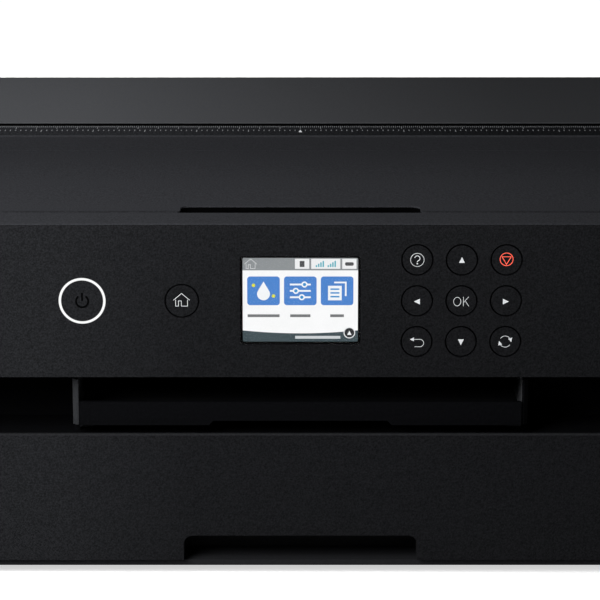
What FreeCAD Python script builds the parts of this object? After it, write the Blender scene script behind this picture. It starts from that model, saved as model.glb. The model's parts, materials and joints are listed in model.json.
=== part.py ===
"""Wide photo inkjet printer as separate pieces: covers, control panel, trays, rear feed, print works.

Millimetres. The origin is the bottom centre of the printer and +Z is up.
+X is the right side and the front faces -Y.
"Depth" below always means the distance behind the front face.
"""
import FreeCAD, Part
import math
import os

V = FreeCAD.Vector

# Overall body
BODY_WIDTH = 479.0
BODY_DEPTH = 370.0
BODY_HEIGHT = 159.0
TOP_RISE = 4.7
CORNER_RADIUS = 16.0
EDGE_CHAMFER = 0.8
WALL = 2.5
SEAM = 0.5
CLEARANCE = 0.3
BORE_CLEARANCE = 0.06
OVERSHOOT = 1.0
HEADROOM = 20.0
TINY = 0.01

# Front face, counted from the floor upwards
FOOT_HEIGHT = 4.0
FOOT_INSET = 26.0
FOOT_WIDTH = 14.0
FOOT_LENGTH = 34.0
PLINTH_HEIGHT = 8.0
PLINTH_INSET = 2.7
PLINTH_RIM_HEIGHT = 16.0
FRONT_WIDTH = 344.0
FACADE_BOTTOM = 7.2
FACADE_THICKNESS = 3.0
SLOT_HEIGHT = 25.15
PANEL_HEIGHT = 65.9

# Control panel
PANEL_DEPTH = 18.0
PANEL_WALL = 2.0
PANEL_BACK_THICKNESS = 2.0
BAND_DEPTH = 24.3
PANEL_KNUCKLE_RADIUS = 2.2
PANEL_PIN_RADIUS = 1.1
PIN_LENGTH = 5.0
SCREEN_WIDTH = 48.96
SCREEN_HEIGHT = 36.7
SCREEN_ABOVE_PANEL_FOOT = 33.1
SCREEN_BORDER = 0.8
SCREEN_CORNER = 1.2
SCREEN_RECESS = 0.4
WINDOW_THICKNESS = 1.2
MODULE_MARGIN = 3.5
MODULE_THICKNESS = 5.0
BUTTON_TRAVEL = 0.6
KEY_RADIUS = 6.15
KEY_GAP = 0.45
KEY_FLANGE_WIDTH = 1.5
KEY_FLANGE_THICKNESS = 1.2
KEY_STEM_WIDTH = 4.0
KEY_COLUMN_FIRST = 48.9
KEY_COLUMN_PITCH = 18.65
KEY_ROW_PITCH = 17.6
HOME_X = -49.7
HOME_RADIUS = 6.7
POWER_X = -91.5
RING_RADIUS = 9.88
RING_STROKE = 1.23
RING_FLANGE_WIDTH = 24.0
RING_STEP = 1.0
POWER_CAP_GAP = 0.1

# Lid, ruler and rear feed
LID_WIDTH = 427.4
LID_DEPTH = 170.4
LID_SKIRT = 5.0
LID_CREASE_DEPTH = 159.1
LID_CREASE_SIZE = 0.4
LID_KNUCKLE_RADIUS = 3.2
LID_PIN_RADIUS = 1.5
LID_RIB_HEIGHT = 3.0
LID_RIB_COUNT = 3
NOTCH_WIDTH = 102.5
NOTCH_DEPTH = 11.2
NOTCH_RADIUS = 4.4
NOTCH_EASE = 1.6
RULER_DEPTH = 29.6
RULER_SINK = 0.4
RULER_THICKNESS = 1.2
RULER_LIP = 1.2
BRIDGE_THICKNESS = 4.0
FEED_GAP = 4.0
FEED_COVER_WIDTH = 370.0
FEED_KNUCKLE_RADIUS = 4.6
FEED_PIN_RADIUS = 1.6
SUPPORT_WIDTH = 190.0
SUPPORT_THICKNESS = 2.0
SUPPORT_REAR_GAP = 15.6
SUPPORT_HOOK = 2.0
SUPPORT_SETBACK = 6.0
SUPPORT_RIM = 24.0
SUPPORT_WINDOW_RADIUS = 8.0
GUTTER_WIDTH = 9.0
GUTTER_THICKNESS = 2.0
GUTTER_DROP = 11.0

# Seams of the outer covers
TOP_SEAM_BELOW_FRONT = 7.3
REAR_PANEL_WIDTH = 400.0
RETURN_DEPTH = 40.0
HAND_HOLD_LENGTH = 84.0
HAND_HOLD_HEIGHT = 13.0

# Paper trays
BAY_WALL_X = 121.0
BAY_BEHIND_PICKUP = 30.0
DECK_THICKNESS = 3.0
DECK_DROP = 2.1
DECK_FRONT = 6.0
DECK_BACK = 200.0
SLOT_WALL_SETBACK = 2.0
SLOT_WALL_GAP = 1.0
RAIL_X = 94.35
RAIL_THICKNESS = 2.5
RAIL_TALL_DEPTH = 25.0
RAIL_POST_TOP_GAP = 2.67
RAIL_TOE_DEPTH = 8.0
RAIL_LOW_HEIGHT = 9.0
RAIL_LEDGE = 5.5
RAIL_CHAMFER = 1.62
TRAY_LIFT = 1.3
TRAY_FRONT = 5.0
TRAY_LIP_THICKNESS = 1.0
TRAY_LIP_WIDTH = 3.2
TRAY_WEB = 2.4
EXTENSION_THICKNESS = 1.5
TRAY_THICKNESS = 1.7
TRAY_LENGTH = 180.0
EXTENSION_LENGTH = 165.0
EXTENSION_WALL_HEIGHT = 10.15
EXTENSION_WALL_THICKNESS = 2.5
TRAY_NOTCH_WIDTH = 77.4
TRAY_NOTCH_HEIGHT = 1.95
TRAY_NOTCH_CHAMFER = 1.7
TRAY_NOTCH_DEPTH = 14.0
CASSETTE_WIDTH = 236.0
CASSETTE_LENGTH = 305.0
CASSETTE_LIFT = 0.5
CASSETTE_WALL = 2.0
CASSETTE_SIDE_HEIGHT = 24.0
CASSETTE_REAR_HEIGHT = 14.0
CASSETTE_FRONT_HEIGHT = 44.0
FACADE_EDGE_RADIUS = 0.75
FACADE_GRIP_WIDTH = 100.0
FACADE_GRIP_HEIGHT = 11.0
FACADE_GRIP_RADIUS = 4.0
GRIP_POCKET_DEPTH = 17.0
GRIP_POCKET_RISE = 10.0
GUIDE_FACE_X = 106.0
GUIDE_THICKNESS = 2.0
GUIDE_HEIGHT = 12.0
GUIDE_LENGTH = 80.0
GUIDE_FOOT = 24.0
GUIDE_FOOT_THICKNESS = 1.5
GUIDE_DEPTH = 60.0

# Print works
PLATE_X = 224.0
PLATE_THICKNESS = 2.5
PLATE_FRONT = 36.0
PLATE_BACK = 200.0
PLATE_TOP_GAP = 16.0
PLATE_WINDOW_INSET = 24.0
PLATE_WINDOW_FOOT = 10.0
PLATE_WINDOW_BELOW_PAPER = 44.0
PAPER_ABOVE_PANEL_FOOT = 1.6
FEED_ROLLER_DEPTH = 140.0
FEED_ROLLER_RADIUS = 6.0
EJECT_ROLLER_RADIUS = 5.5
EJECT_SHAFT_RADIUS = 3.0
EJECT_TYRE_LENGTH = 16.0
EJECT_TYRE_COUNT = 3
JOURNAL_RADIUS = 3.0
GEAR_MODULE = 1.25
FEED_GEAR_TEETH = 48
EJECT_GEAR_TEETH = 44
TRANSFER_GEAR_TEETH = 26
PINION_TEETH = 12
GEAR_WIDTH = 5.0
GEAR_GAP = 2.0
GEAR_BACKLASH = 0.3
TIP_MODULES = 0.9
ROOT_MODULES = 1.2
PRESSURE_ANGLE = 20.0
PLATEN_FRONT = 62.0
PLATEN_BACK = 133.0
PLATEN_THICKNESS = 4.0
PLATEN_RIGHT = 169.0
PLATEN_RIB = 1.2
PLATEN_RIB_COUNT = 9
PLATEN_RIB_INSET = 10.0
PLATEN_LEG_WIDTH = 20.0
PLATEN_LEG_DEPTH = 6.0
CARRIAGE_WIDTH = 90.0
CARRIAGE_FRONT = 60.0
CARRIAGE_DEPTH = 70.0
CARRIAGE_HEIGHT = 42.0
CARRIAGE_WALL = 2.0
CARRIAGE_LIFT = 4.0
CARRIAGE_HOME = 177.0
NOSE_INSET = 10.0
NOSE_OVERLAP = 4.0
CATCH_DROP = 6.0
CLIP_WIDTH = 16.0
HEAD_OFFSET = 12.0
HEAD_WIDTH = 32.0
HEAD_LENGTH = 34.0
HEAD_GAP = 2.0
CARTRIDGE_COUNT = 6
CARTRIDGE_GAP = 0.6
CARTRIDGE_RISE = 6.0
RAIL_WEB_DEPTH = 147.0
RAIL_SHEET = 2.0
RAIL_WEB_HEIGHT = 38.0
RAIL_FLANGE = 8.0
HOOK_CLEARANCE = 0.4
BELT_DEPTH = 137.0
BELT_WIDTH = 4.0
BELT_THICKNESS = 1.2
PULLEY_X = 205.0
PULLEY_RADIUS = 6.0
PULLEY_ABOVE_PAPER = 28.0
MOTOR_RADIUS = 13.0
MOTOR_LENGTH = 36.0
MOTOR_SHAFT_RADIUS = 1.5
FRONT_RAIL_DEPTH = 44.0
FRONT_RAIL_WIDTH = 14.0
FRONT_RAIL_ABOVE_PAPER = 30.0
CAP_LEFT = 172.0
CAP_LENGTH = 45.0
CAP_HEIGHT = 22.0
CAP_LIP_HEIGHT = 3.0
CAP_LIP_WIDTH = 2.0
HOPPER_WIDTH = 344.0
HOPPER_TOP_DEPTH = 250.0
HOPPER_TOP_BELOW = 12.0
HOPPER_REAR_GAP = 14.0
HOPPER_THICKNESS = 2.5
HOPPER_LEG = 4.0
HOPPER_LEG_INSET = 30.0
HOPPER_LEG_SETBACK = 10.0
HOPPER_LEAD_GAP = 6.0
CHUTE_ANGLE = 45.0
HOPPER_GUIDE_X = 165.0
HOPPER_GUIDE_HEIGHT = 10.0
HOPPER_GUIDE_START = 14.0
HOPPER_GUIDE_LENGTH = 44.0
PICKUP_DEPTH = 230.0
PICKUP_RADIUS = 12.0
PICKUP_WIDTH = 36.0
PICKUP_SHAFT_GAP = 3.0
SHAFT_END = 2.0

# Electrics and rear side
SUPPLY_X = -198.0
SUPPLY_WIDTH = 50.0
SUPPLY_FRONT = 225.0
SUPPLY_HEIGHT = 52.0
INLET_X = -176.0
INLET_WIDTH = 28.0
INLET_HEIGHT = 20.0
INLET_ABOVE_FLOOR = 26.0
INLET_SOCKET_WIDTH = 16.4
INLET_SOCKET_HEIGHT = 9.0
INLET_SOCKET_DEPTH = 12.0
INLET_PIN_RADIUS = 1.2
INLET_PIN_PITCH = 8.6
INLET_PIN_RECESS = 3.0
INLET_CORNER = 4.05
BOARD_X = 148.0
BOARD_WIDTH = 50.0
BOARD_FRONT = 235.0
BOARD_THICKNESS = 1.6
BOARD_LIFT = 14.0
PILLAR_WIDTH = 6.0
PILLAR_INSET = 8.0
PILLAR_RIGHT_INSET = 22.0
PILLAR_REAR_INSET = 30.0
USB_X = 160.0
USB_WIDTH = 12.4
USB_HEIGHT = 11.0
LAN_X = 186.0
LAN_WIDTH = 16.0
LAN_HEIGHT = 13.5
SOCKET_DEPTH = 17.0
SOCKET_WALL = 1.0
SOCKET_PLATE_RIM = 2.5
ACCESS_WIDTH = 280.0
ACCESS_BOTTOM = 46.0
ACCESS_HEIGHT = 68.0
ACCESS_BOX_DEPTH = 24.0
ACCESS_GRIP_WIDTH = 60.0
ACCESS_GRIP_HEIGHT = 9.0
ACCESS_GRIP_DEPTH = 10.0
SCREW_HEAD_RADIUS = 3.0
SCREW_HEAD_HEIGHT = 1.8
SCREW_RADIUS = 1.6
SCREW_BOSS_WIDTH = 10.0
SCREW_BOSS_HEIGHT = 8.0
SCREW_X = 205.0
SCREW_INSET = 52.0

# Places that follow from the sizes above
FRONT = -BODY_DEPTH / 2
HALF_WIDTH = BODY_WIDTH / 2
HALF_FRONT = FRONT_WIDTH / 2
FLOOR_TOP = FOOT_HEIGHT + WALL
CASSETTE_FLOOR = FLOOR_TOP + CASSETTE_LIFT
SIDE_BOTTOM = FOOT_HEIGHT + PLINTH_HEIGHT
PANEL_TOP = BODY_HEIGHT - TOP_RISE
PANEL_BOTTOM = PANEL_TOP - PANEL_HEIGHT
FACADE_TOP = PANEL_BOTTOM - SLOT_HEIGHT
SCREEN_Z = PANEL_BOTTOM + SCREEN_ABOVE_PANEL_FOOT
TOP_SEAM = PANEL_TOP - TOP_SEAM_BELOW_FRONT
LID_FRONT = BAND_DEPTH + SEAM
LID_BACK = LID_FRONT + LID_DEPTH
RULER_FRONT = LID_BACK + SEAM
RULER_BACK = RULER_FRONT + RULER_DEPTH
FEED_COVER_FRONT = RULER_BACK + FEED_GAP
DECK_TOP = FACADE_TOP - DECK_DROP
PAPER_Z = PANEL_BOTTOM + PAPER_ABOVE_PANEL_FOOT
PULLEY_Z = PAPER_Z + PULLEY_ABOVE_PAPER
HOPPER_BACK = BODY_DEPTH - HOPPER_REAR_GAP
ABOVE_ALL = BODY_HEIGHT + HEADROOM


def top_height(depth):
    """Height of the sloping top of the body at a depth."""
    return PANEL_TOP + TOP_RISE * depth / BODY_DEPTH


def box(x0, x1, depth0, depth1, z0, z1):
    """Block between two sides, two depths and two heights."""
    return Part.makeBox(x1 - x0, depth1 - depth0, z1 - z0, V(x0, FRONT + depth0, z0))


def rod_x(radius, depth, z, x0, x1):
    """Round bar that runs across the printer."""
    return Part.makeCylinder(radius, x1 - x0, V(x0, FRONT + depth, z), V(1, 0, 0))


def rod_y(radius, x, z, depth0, depth1):
    """Round bar that runs from front to back."""
    return Part.makeCylinder(radius, depth1 - depth0, V(x, FRONT + depth0, z), V(0, 1, 0))


def rod_z(radius, x, depth, z0, z1):
    """Upright round bar."""
    return Part.makeCylinder(radius, z1 - z0, V(x, FRONT + depth, z0), V(0, 0, 1))


def post_y(width, x, z, depth0, depth1):
    """Square bar that runs from front to back."""
    half = width / 2
    return box(x - half, x + half, depth0, depth1, z - half, z + half)


def post_z(width, x, depth, z0, z1):
    """Upright square bar."""
    half = width / 2
    return box(x - half, x + half, depth - half, depth + half, z0, z1)


def side_prism(outline, x0, x1):
    """Outline of (depth, height) corners, drawn out across the printer."""
    corners = [V(x0, FRONT + depth, z) for depth, z in outline]
    face = Part.Face(Part.makePolygon(corners + corners[:1]))
    return face.extrude(V(x1 - x0, 0, 0))


def edges_along(shape, axis):
    """Straight edges of a shape that run along one axis."""
    found = []
    for edge in shape.Edges:
        if len(edge.Vertexes) == 2:
            run = edge.Vertexes[1].Point.sub(edge.Vertexes[0].Point)
            if abs(run.dot(axis)) > 0.999 * run.Length:
                found.append(edge)
    return found


def round_corners(shape, axis, radius):
    """Round every edge that runs along one axis."""
    return shape.makeFillet(radius, edges_along(shape, axis))


def mirrored(shape):
    """The same shape on the other side of the printer."""
    return shape.mirror(V(0, 0, 0), V(1, 0, 0))


def both_sides(shape):
    """A shape together with its mirror image, as a list."""
    return [shape, mirrored(shape)]


def joined(shapes):
    """One solid from shapes that meet."""
    return shapes[0].fuse(shapes[1:]).removeSplitter()


def save(name, shape):
    """Write one sub-part."""
    shape.exportStep("parts/" + name + ".step")


def body_form(inset, bottom):
    """Outer form of the body, or the same form drawn in by a wall thickness."""
    near = inset
    far = BODY_DEPTH - inset
    outline = [
        (near, bottom),
        (near, top_height(near) - inset),
        (far, top_height(far) - inset),
        (far, bottom),
    ]
    profile = side_prism(outline, -HALF_WIDTH, HALF_WIDTH)
    plan = box(inset - HALF_WIDTH, HALF_WIDTH - inset, near, far, bottom, ABOVE_ALL)
    plan = round_corners(plan, V(0, 0, 1), CORNER_RADIUS - inset)
    return plan.common(profile)


def outer_form():
    """The body with its top edge broken all the way round."""
    form = body_form(0.0, SIDE_BOTTOM)
    rim = [edge for edge in form.Edges if edge.BoundBox.ZMin > PANEL_TOP - EDGE_CHAMFER]
    return form.makeChamfer(EDGE_CHAMFER, rim)


OUTER = outer_form()
SKIN = OUTER.cut(body_form(WALL, SIDE_BOTTOM - OVERSHOOT))


def everything(z0, z1):
    """A slab that takes in the whole plan of the printer."""
    return box(-HALF_WIDTH, HALF_WIDTH, 0.0, BODY_DEPTH, z0, z1)


# Outer covers

def rubber_feet():
    """Four rubber pads under the corners."""
    x = HALF_WIDTH - FOOT_INSET
    feet = []
    for depth in (FOOT_INSET, BODY_DEPTH - FOOT_INSET):
        front = depth - FOOT_LENGTH / 2
        pad = box(x - FOOT_WIDTH / 2, x + FOOT_WIDTH / 2, front, front + FOOT_LENGTH, 0.0, FOOT_HEIGHT)
        feet += both_sides(pad)
    return Part.makeCompound(feet)


def screw_places():
    """Where the case screws stand, as (x, depth)."""
    depths = (SCREW_INSET, BODY_DEPTH - SCREW_INSET)
    return [(side * SCREW_X, depth) for side in (-1, 1) for depth in depths]


def case_screws():
    """Screws that hold the base to the works, heads under the floor between the feet."""
    screws = []
    for x, depth in screw_places():
        head = rod_z(SCREW_HEAD_RADIUS, x, depth, FOOT_HEIGHT - SCREW_HEAD_HEIGHT, FOOT_HEIGHT)
        shank = rod_z(SCREW_RADIUS, x, depth, FOOT_HEIGHT, FLOOR_TOP + SCREW_BOSS_HEIGHT)
        screws.append(joined([head, shank]))
    return Part.makeCompound(screws)


def plinth_plan(inset, z0, z1):
    """Plan of the base drawn in from the body, with its rounded corners."""
    plan = box(inset - HALF_WIDTH, HALF_WIDTH - inset, inset, BODY_DEPTH - inset, z0, z1)
    return round_corners(plan, V(0, 0, 1), CORNER_RADIUS - inset)


def hand_hold(x0, x1, z0, z1):
    """Room for the fingers halfway along the side, between two sides and two heights."""
    middle = BODY_DEPTH / 2
    half = HAND_HOLD_LENGTH / 2
    return box(x0, x1, middle - half, middle + half, z0, z1)


def base_tray():
    """Floor with an upright rim, open at the front and at the hand holds, and the screw bosses."""
    rim_top = FOOT_HEIGHT + PLINTH_RIM_HEIGHT
    floor = plinth_plan(PLINTH_INSET, FOOT_HEIGHT, rim_top)
    floor = floor.cut(plinth_plan(PLINTH_INSET + WALL, FLOOR_TOP, rim_top))
    half_mouth = HALF_FRONT + SEAM + WALL
    floor = floor.cut(box(-half_mouth, half_mouth, 0.0, RETURN_DEPTH, FLOOR_TOP, rim_top))
    floor = floor.cut(hand_hold(-HALF_WIDTH, HALF_WIDTH, FLOOR_TOP, rim_top))
    bosses = []
    for x, depth in screw_places():
        bosses.append(post_z(SCREW_BOSS_WIDTH, x, depth, FOOT_HEIGHT, FLOOR_TOP + SCREW_BOSS_HEIGHT))
    return joined([floor] + bosses).cut(case_screws())


def pickup_height():
    """Height of the roller that takes paper out of the cassette."""
    return CASSETTE_FLOOR + CASSETTE_SIDE_HEIGHT + JOURNAL_RADIUS + PICKUP_SHAFT_GAP


def right_side_cover():
    """Side wall with the front cheek beside the panel and the rear corner."""
    region = box(HALF_FRONT + SEAM, HALF_WIDTH, 0.0, BODY_DEPTH, SIDE_BOTTOM, TOP_SEAM - SEAM / 2)
    wall = SKIN.common(region)
    rear_reach = REAR_PANEL_WIDTH / 2 + SEAM
    wall = wall.cut(box(0.0, rear_reach, BODY_DEPTH / 2, BODY_DEPTH, 0.0, ABOVE_ALL))
    edge = HALF_FRONT + SEAM
    inner_edge = box(edge, edge + WALL, 0.0, RETURN_DEPTH, SIDE_BOTTOM, gutter_floor() - SEAM)
    shape = joined([wall, inner_edge])
    hold_top = SIDE_BOTTOM + HAND_HOLD_HEIGHT
    return shape.cut(hand_hold(HALF_WIDTH - 2 * WALL, HALF_WIDTH, SIDE_BOTTOM, hold_top))


def rear_openings():
    """Cut-outs of the rear panel for the sockets and the access cover."""
    far = BODY_DEPTH + OVERSHOOT
    near = BODY_DEPTH - 2 * WALL
    half = ACCESS_WIDTH / 2 + SEAM
    cuts = [box(-half, half, near, far, ACCESS_BOTTOM - SEAM, ACCESS_BOTTOM + ACCESS_HEIGHT + SEAM)]
    inlet_z = FLOOR_TOP + INLET_ABOVE_FLOOR
    cuts.append(box(
        INLET_X - INLET_WIDTH / 2 - CLEARANCE, INLET_X + INLET_WIDTH / 2 + CLEARANCE, near, far,
        inlet_z - INLET_HEIGHT / 2 - CLEARANCE, inlet_z + INLET_HEIGHT / 2 + CLEARANCE))
    cuts.append(socket_plate(CLEARANCE, near, far))
    return cuts


def rear_panel():
    """Flat rear wall with openings for the sockets and the access cover."""
    half = REAR_PANEL_WIDTH / 2
    front = BODY_DEPTH - WALL
    plate = box(-half, half, front, BODY_DEPTH, SIDE_BOTTOM, TOP_SEAM - SEAM / 2)
    half_feed = FEED_COVER_WIDTH / 2
    riser_top = feed_axis()[1] - FEED_KNUCKLE_RADIUS - SEAM
    riser = box(-half_feed, half_feed, front, BODY_DEPTH, TOP_SEAM - WALL, riser_top)
    return joined([plate, riser]).cut(Part.makeCompound(rear_openings()))


def panel_axis():
    """Hinge line of the control panel, as (depth, height)."""
    depth = BAND_DEPTH - PANEL_KNUCKLE_RADIUS
    return depth, top_height(depth) - PANEL_KNUCKLE_RADIUS


def lid_axis():
    """Hinge line of the lid, as (depth, height)."""
    depth = LID_BACK - LID_KNUCKLE_RADIUS
    return depth, top_height(depth) - LID_KNUCKLE_RADIUS


def feed_axis():
    """Hinge line of the rear feed cover, as (depth, height)."""
    depth = BODY_DEPTH - FEED_KNUCKLE_RADIUS
    return depth, top_height(depth) - FEED_KNUCKLE_RADIUS


def hinge_boss(axis, x, pin_radius, reach):
    """Block under the top skin, as deep as the flap's round edge, with the blind hole for one hinge pin."""
    depth, z = axis
    start = x + SEAM
    stop = start + PIN_LENGTH + WALL
    block = box(start, stop, depth - reach, depth + reach, z - reach, top_height(depth))
    block = block.common(OUTER)
    hole = rod_x(pin_radius + BORE_CLEARANCE, depth, z, start - OVERSHOOT, stop - WALL + SEAM)
    return block, hole


def ruler_strip():
    """Inlaid strip that carries the paper scale in front of the rear feed, let in below the top."""
    half = FEED_COVER_WIDTH / 2
    front = RULER_FRONT + RULER_LIP
    back = RULER_BACK - RULER_LIP
    foot = RULER_SINK + RULER_THICKNESS
    outline = [
        (front, top_height(front) - RULER_SINK),
        (back, top_height(back) - RULER_SINK),
        (back, top_height(back) - foot),
        (front, top_height(front) - foot),
    ]
    return side_prism(outline, -half, half)


def gutter_floor():
    """Underside of the ledge below the lid's rim."""
    return top_height(LID_FRONT) - GUTTER_DROP


def gutter():
    """Ledge that runs round the opening under the lid's rim, cut away for fingers at the lid's notch."""
    edge = LID_WIDTH / 2 + SEAM
    outer = edge + GUTTER_THICKNESS
    floor = gutter_floor()
    back = lid_axis()[0] - LID_KNUCKLE_RADIUS - SEAM
    front = LID_FRONT + 2 * SEAM
    ring = box(-outer, outer, front, back, floor, floor + GUTTER_THICKNESS)
    window_half = edge - GUTTER_WIDTH
    window_front = front + GUTTER_WIDTH + NOTCH_DEPTH
    window = box(-window_half, window_half, window_front, back + OVERSHOOT, 0.0, ABOVE_ALL)
    room_half = NOTCH_WIDTH / 2 + GUTTER_WIDTH
    finger_room = box(-room_half, room_half, front - OVERSHOOT, window_front, 0.0, ABOVE_ALL)
    wall = box(edge, outer, front, back, floor, ABOVE_ALL).common(OUTER)
    return [ring.cut(window).cut(finger_room)] + both_sides(wall)


def top_frame():
    """Top rim round lid and rear feed, with the ruler's bridge and the hinge seats."""
    frame = SKIN.common(everything(TOP_SEAM + SEAM / 2, ABOVE_ALL))
    bridge = box(-HALF_WIDTH, HALF_WIDTH, RULER_FRONT, RULER_BACK, PANEL_TOP - BRIDGE_THICKNESS, ABOVE_ALL)
    bridge = bridge.common(OUTER)
    half_front = HALF_FRONT + SEAM
    half_lid = LID_WIDTH / 2 + SEAM
    half_feed = FEED_COVER_WIDTH / 2 + SEAM
    frame = frame.cut(box(-half_front, half_front, 0.0, BAND_DEPTH, 0.0, ABOVE_ALL))
    frame = frame.cut(box(-half_lid, half_lid, BAND_DEPTH, RULER_FRONT, 0.0, ABOVE_ALL))
    frame = frame.cut(box(-half_feed, half_feed, RULER_BACK, BODY_DEPTH, 0.0, ABOVE_ALL))
    bosses = []
    holes = []
    seats = (
        (panel_axis(), HALF_FRONT, PANEL_PIN_RADIUS, PANEL_KNUCKLE_RADIUS),
        (lid_axis(), LID_WIDTH / 2, LID_PIN_RADIUS, LID_KNUCKLE_RADIUS),
        (feed_axis(), FEED_COVER_WIDTH / 2, FEED_PIN_RADIUS, FEED_KNUCKLE_RADIUS),
    )
    for axis, x, pin_radius, reach in seats:
        block, hole = hinge_boss(axis, x, pin_radius, reach)
        bosses += both_sides(block)
        holes += both_sides(hole)
    shape = joined([frame, bridge] + gutter() + bosses)
    shape = shape.cut(Part.makeCompound(holes))
    strip = ruler_strip()
    return shape.cut(strip).cut(strip.translated(V(0, 0, RULER_SINK)))


def knuckle(axis, radius, half_length):
    """Round hinge edge of a flap."""
    return rod_x(radius, axis[0], axis[1], -half_length, half_length)


def hinge_pins(axis, radius, half_length):
    """Pins at both ends of a flap's hinge edge."""
    pin = rod_x(radius, axis[0], axis[1], half_length - PIN_LENGTH, half_length + PIN_LENGTH)
    return both_sides(pin)


def notch_cut():
    """Finger notch in the front edge of the lid, round at its inner corners and eased at its mouth."""
    half = NOTCH_WIDTH / 2
    front = LID_FRONT - OVERSHOOT
    cut = box(-half, half, front, LID_FRONT + NOTCH_DEPTH, 0.0, ABOVE_ALL)
    inner = [e for e in edges_along(cut, V(0, 0, 1)) if e.CenterOfMass.y > FRONT + LID_FRONT]
    cut = cut.makeFillet(NOTCH_RADIUS, inner)
    centre = LID_FRONT + NOTCH_EASE
    ease = box(half - NOTCH_EASE, half + NOTCH_EASE, front, centre, 0.0, ABOVE_ALL)
    ease = ease.cut(rod_z(NOTCH_EASE, half + NOTCH_EASE, centre, 0.0, ABOVE_ALL))
    return joined([cut] + both_sides(ease))


def printer_cover():
    """Lid over the print works, with its rim, ribs, finger notch and round hinge edge."""
    half = LID_WIDTH / 2
    axis = lid_axis()
    flat_back = axis[0]
    notch_back = LID_FRONT + NOTCH_DEPTH
    plate = SKIN.common(box(-half, half, LID_FRONT, flat_back, TOP_SEAM, ABOVE_ALL))
    skirt_foot = top_height(LID_FRONT) - WALL - LID_SKIRT
    side = box(half - PANEL_WALL, half, LID_FRONT, flat_back, skirt_foot, ABOVE_ALL).common(OUTER)
    front = box(-half, half, LID_FRONT, LID_FRONT + PANEL_WALL, skirt_foot, ABOVE_ALL).common(OUTER)
    pocket = box(
        -NOTCH_WIDTH / 2 - PANEL_WALL, NOTCH_WIDTH / 2 + PANEL_WALL, LID_FRONT,
        notch_back + PANEL_WALL, skirt_foot, ABOVE_ALL).common(OUTER)
    ribs = []
    for number in range(LID_RIB_COUNT):
        x = LID_WIDTH * ((number + 1) / (LID_RIB_COUNT + 1) - 0.5)
        rib = box(
            x - PANEL_WALL / 2, x + PANEL_WALL / 2, notch_back, flat_back,
            top_height(LID_FRONT) - WALL - LID_RIB_HEIGHT, ABOVE_ALL)
        ribs.append(rib.common(OUTER))
    cross_rib = box(-half, half, notch_back, notch_back + PANEL_WALL, skirt_foot, ABOVE_ALL)
    ribs.append(cross_rib.common(OUTER))
    hinge = [knuckle(axis, LID_KNUCKLE_RADIUS, half)] + hinge_pins(axis, LID_PIN_RADIUS, half)
    shape = joined([plate, front, pocket] + both_sides(side) + ribs)
    shape = joined([shape] + hinge)
    crease_top = top_height(LID_CREASE_DEPTH)
    crease = [
        (LID_CREASE_DEPTH - LID_CREASE_SIZE, crease_top + LID_CREASE_SIZE),
        (LID_CREASE_DEPTH + LID_CREASE_SIZE, crease_top + LID_CREASE_SIZE),
        (LID_CREASE_DEPTH, crease_top - LID_CREASE_SIZE),
    ]
    return shape.cut(notch_cut()).cut(side_prism(crease, -half, half))


# Rear feed

def rear_feed_cover():
    """Flat cover over the rear feed that folds back to hold the paper, with rails for its extension."""
    half = FEED_COVER_WIDTH / 2
    axis = feed_axis()
    plate = SKIN.common(box(-half, half, FEED_COVER_FRONT, axis[0], TOP_SEAM, ABOVE_ALL))
    shape = joined([plate, knuckle(axis, FEED_KNUCKLE_RADIUS, half)])
    shape = joined([shape] + hinge_pins(axis, FEED_PIN_RADIUS, half))
    rails = []
    side = SUPPORT_WIDTH / 2 + CLEARANCE
    foot = support_height() - CLEARANCE - SUPPORT_HOOK
    back = support_back()
    web = box(side, side + SUPPORT_HOOK, FEED_COVER_FRONT, back, foot, ABOVE_ALL).common(OUTER)
    lip = box(side - SUPPORT_HOOK, side + SUPPORT_HOOK, FEED_COVER_FRONT, back, foot, foot + SUPPORT_HOOK)
    rails += both_sides(web) + both_sides(lip)
    return joined([shape] + rails)


def support_back():
    """Depth of the rear end of the extension, clear of the cover's hinge edge."""
    return feed_axis()[0] - FEED_KNUCKLE_RADIUS - SUPPORT_REAR_GAP


def support_height():
    """Underside of the extension that lies below the rear feed cover."""
    return top_height(FEED_COVER_FRONT) - WALL - CLEARANCE - SUPPORT_THICKNESS


def support_extension():
    """Sliding extension of the paper support."""
    half = SUPPORT_WIDTH / 2
    foot = support_height()
    front = FEED_COVER_FRONT + SUPPORT_SETBACK
    back = support_back()
    plate = box(-half, half, front, back, foot, foot + SUPPORT_THICKNESS)
    rim = SUPPORT_RIM
    window = box(rim - half, half - rim, front + rim, back - rim, 0.0, ABOVE_ALL)
    window = round_corners(window, V(0, 0, 1), SUPPORT_WINDOW_RADIUS)
    return plate.cut(window)


def hopper_top():
    """Height of the deck behind the chute of the rear feed."""
    return top_height(HOPPER_TOP_DEPTH) - HOPPER_TOP_BELOW


def hopper_fall():
    """How far the chute drops, at forty-five degrees, to the paper level."""
    return hopper_top() - PAPER_Z - CLEARANCE


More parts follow.
